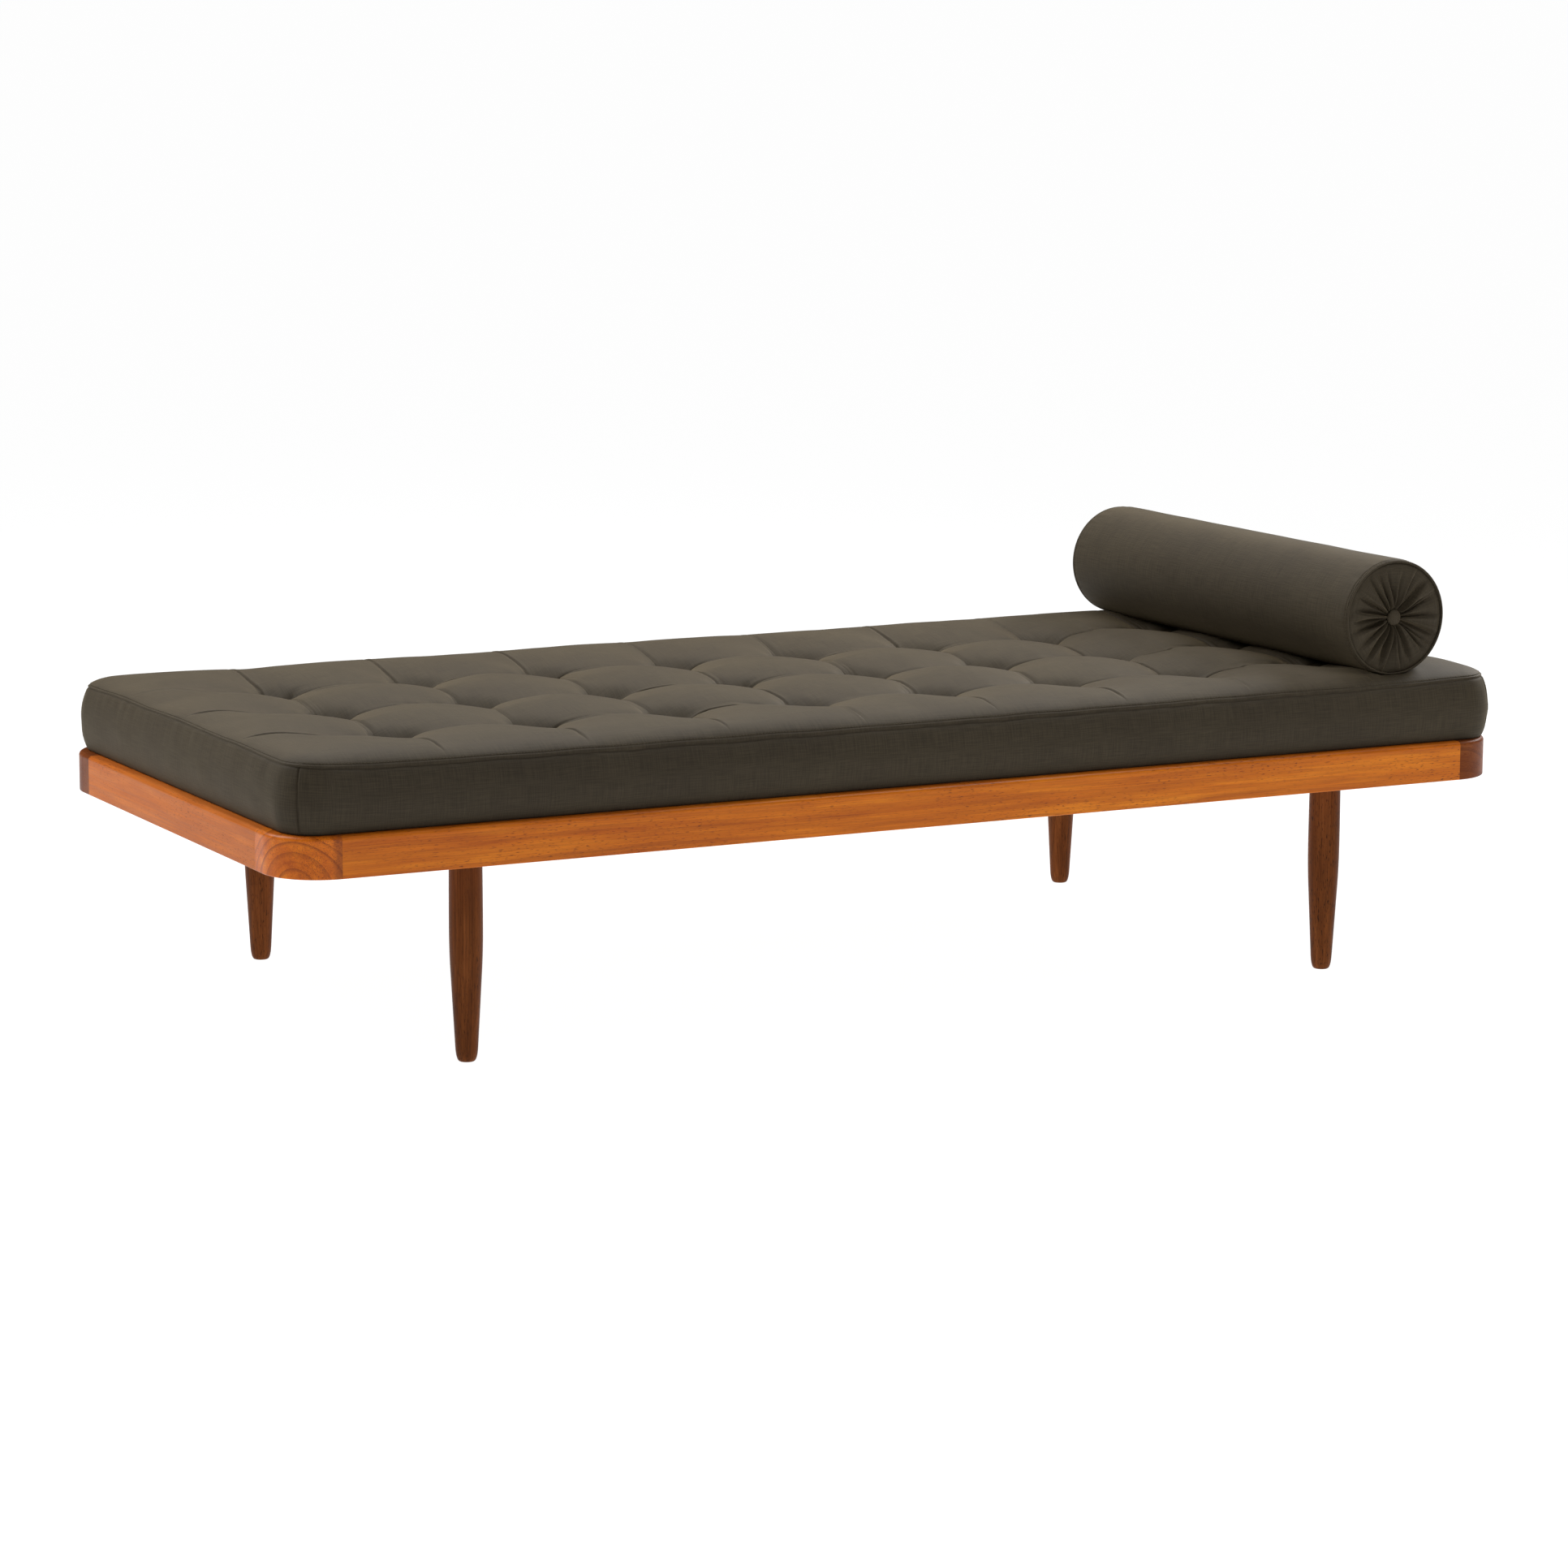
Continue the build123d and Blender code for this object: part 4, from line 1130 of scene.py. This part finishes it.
def buildBolster(sizes):
    half = sizes["half"]
    radius = sizes["radius"]
    angles = np.arange(sizes["around"]) * 2 * math.pi / sizes["around"]
    discRows = np.concatenate([np.linspace(0.0040, 0.074, 34), np.linspace(0.0755, sizes["discRadius"], 8)])
    bodyRows = np.concatenate([
        np.linspace(0.0052, 0.0132, 13),
        0.0132 + 0.0020 * np.arange(1, 10) ** 1.3,
        np.linspace(0.0500, half, 28)[:-1],
    ])
    rows = []  # distance from the axis, place along it, which end's disc, and place in the weave
    for side in (0, 1):
        hand = side * 2 - 1
        sideRows = []
        for distance in discRows:
            dished = sizes["dish"] * math.exp(-(distance / sizes["dishReach"]) ** 1.7)
            turned = sizes["rimDrop"] * max(0.0, (distance - 0.0600) / 0.0206) ** 2.6
            sideRows.append((distance, hand * (half - dished - turned), side, distance))
        for fromEnd in bodyRows:
            sideRows.append((bolsterRadius(fromEnd, sizes), hand * (half - fromEnd), None, radius + fromEnd))
        if side == 0:
            rows = sideRows + [(radius, 0.0, None, radius + half)]
        else:
            rows += [(d, place, s, 2 * (radius + half) - weave) for d, place, s, weave in sideRows[::-1]]
    folds = bolsterFolds(sizes)
    rings = []
    for distance, place, side, _ in rows:
        distances = np.full_like(angles, distance)
        places = np.full_like(angles, place)
        if side is None:
            fromEnd = half - abs(place)
            calm = smoothStep(np.array(fromEnd), 0.006, 0.05)
            arc = angles * radius
            wander = sizes["unevenness"] * calm * ripple(arc, places, 31, 8, 0.15)
            pucker = ripple(arc, places * 0, 33 + (place > 0), 6, 0.022)
            pucker = sizes["unevenness"] * (1 - calm) * pucker
            closing = ((angles - math.radians(sizes["closingSeam"])) * radius / 0.0013) ** 2
            groove = sizes["closingGroove"] * calm * np.exp(-closing)
            distances = distances + wander + pucker - groove
        else:
            relief = foldRelief(distance, angles, folds[side], sizes)
            places = places + (side * 2 - 1) * relief
        rings.append(onAxis(distances, places, angles, sizes))
    return closedRings("bolsterCover", rings, angles, [row[3] for row in rows], True, satinCloth)


def buildButton(name, side, sizes):
    count = 64
    angles = np.arange(count) * 2 * math.pi / count
    face = sizes["half"] - sizes["buttonSeat"]
    leans = np.radians(np.linspace(-52, 86, 15))
    rings = []
    for lean in leans:  # a flattened dome over a rounded rim that tucks in behind
        low = lean < 0
        distance = sizes["buttonRadius"] * (math.cos(lean) ** (0.55 if low else 0.75))
        height = sizes["buttonTuck" if low else "buttonHeight"] * math.sin(lean)
        gather = 1 + 0.010 * np.cos(angles * sizes["buttonGathers"]) * math.cos(lean) ** 4
        places = np.full(count, side * (face + height))
        around = distance * gather
        rings.append(np.column_stack([
            sizes["middleX"] + around * np.cos(angles),
            places,
            sizes["middleZ"] + around * np.sin(angles),
        ]))
    texture = list(sizes["buttonRadius"] * leans)
    return closedRings(name, rings, angles, texture, side < 0, satinCloth)


def bolsterLoops(fromEnd, distance, sizes):  # a loop round each end, for a welt or a topstitch
    count = 180
    angles = np.arange(count) * 2 * math.pi / count
    loops = []
    for side in (-1, 1):
        places = np.full(count, side * (sizes["half"] - fromEnd))
        loops.append(onAxis(np.full(count, distance), places, angles, sizes))
    return loops


bolster = buildBolster(bolsterSizes)
buttonNames = {"bolsterButtonFront": -1, "bolsterButtonBack": 1}
buttons = [buildButton(name, side, bolsterSizes) for name, side in buttonNames.items()]
weltDistance = bolsterSizes["discRadius"] + bolsterSizes["weltProud"]
weltPath = bolsterLoops(bolsterSizes["weltInset"], weltDistance, bolsterSizes)
bolsterWelts = sewn("bolsterWelts", weltPath, welts, sewing["welt"])
topstitch = bolsterSizes["topstitch"]
stitchDistance = bolsterRadius(topstitch, bolsterSizes) + bolsterSizes["stitchProud"]
stitchPath = bolsterLoops(topstitch, stitchDistance, bolsterSizes)
bolsterStitches = sewn("bolsterStitches", stitchPath, stitches, sewing["stitch"])
print("bolster:", len(bolster.data.polygons), "faces, with its welts and stitches")


# Pieces ride on their bodies
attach(mattress, "mattress")
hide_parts("mattress_cover", "mattress_core", "tuft_ties")
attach(mattressStitches, "mattress")
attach(bolster, "bolster")
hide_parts("bolster_cover", "bolster_core")
for trim in (bolsterWelts, bolsterStitches):
    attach(trim, "bolster")
for button, stands in zip(buttons, ("bolster_button_front", "bolster_button_back")):
    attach(button, "bolster")
    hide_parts(stands)


# Studio: a white floor that lights the daybed from below, soft lights overhead and at its head end
studio = {
    "floorWhite": 0.985,  # how bright the floor shows before any light falls on it
    "floorBounce": 1.28,  # and how strongly it lights the daybed
    "floorColour": "#5a5a5a",
    "floorSpeck": "#5c5c5c",
    "floorRadius": 200.0,
    "sky": 0.0,
    "skyWhite": 1.05,
    "aim": (0.0, 0.0, 0.35),
    "lights": {  # power in watts, place and size
        "overhead": (113.0, (0.2, 1.2, 3.2), 2.6),
        "behindFoot": (85.0, (-2.2, 1.2, 2.6), 1.6),
        "headEnd": (122.0, (3.0, 0.7, 2.1), 1.6),
        "aboveBolster": (42.0, (1.8, -1.8, 3.1), 0.8),
        "aboveFoot": (8.0, (-2.4, -0.6, 2.3), 0.5),
        "front": (38.0, (-0.8, -5.0, 1.7), 2.4),
    },
}


def makeStudio(look):
    floorMaterial, tree = emptyMaterial("whitePaperFloor")
    place = addNode(tree, "ShaderNodeTexCoord").outputs["Object"]
    speck = addNode(tree, "ShaderNodeTexNoise", {"Vector": place, "Scale": 3.0, "Detail": 2.0})
    tone = addNode(tree, "ShaderNodeValToRGB", {0: speck})
    setStops(tone, [(0.0, linear(look["floorColour"])), (1.0, linear(look["floorSpeck"]))])
    matt = addNode(tree, "ShaderNodeBsdfDiffuse", {"Color": tone})
    ray = addNode(tree, "ShaderNodeLightPath").outputs["Is Camera Ray"]
    white = addNode(tree, "ShaderNodeMapRange", {0: ray, 3: look["floorBounce"], 4: look["floorWhite"]})
    glow = addNode(tree, "ShaderNodeEmission", {"Strength": white})
    both = addNode(tree, "ShaderNodeAddShader", {0: matt, 1: glow})
    addNode(tree, "ShaderNodeOutputMaterial", {0: both})
    angles = np.arange(64) * math.pi / 32
    rim = look["floorRadius"] * np.column_stack([np.cos(angles), np.sin(angles), angles * 0])
    floor = meshPiece("floor", rim, [tuple(range(len(rim)))], None, floorMaterial)
    world = bpy.data.worlds.new("studioWorld")
    world.use_nodes = True
    sky = world.node_tree
    sky.nodes.clear()
    ray = addNode(sky, "ShaderNodeLightPath").outputs["Is Camera Ray"]
    level = addNode(sky, "ShaderNodeMapRange", {0: ray, 3: look["sky"], 4: look["skyWhite"]})
    dome = addNode(sky, "ShaderNodeBackground", {"Color": grey(1.0), "Strength": level})
    addNode(sky, "ShaderNodeOutputWorld", {0: dome})
    scene.world = world
    for name, (power, place, size) in look["lights"].items():
        lamp = bpy.data.lights.new(name + "Light", "AREA")
        lamp.shape = "SQUARE"
        lamp.size = size
        lamp.energy = power
        light = bpy.data.objects.new(name + "Light", lamp)
        scene.collection.objects.link(light)
        start = Vector(place)
        turned = (Vector(look["aim"]) - start).to_track_quat("-Z", "Y").to_matrix().to_4x4()
        light.matrix_world = Matrix.Translation(start) @ turned


makeStudio(studio)
print("studio ready")
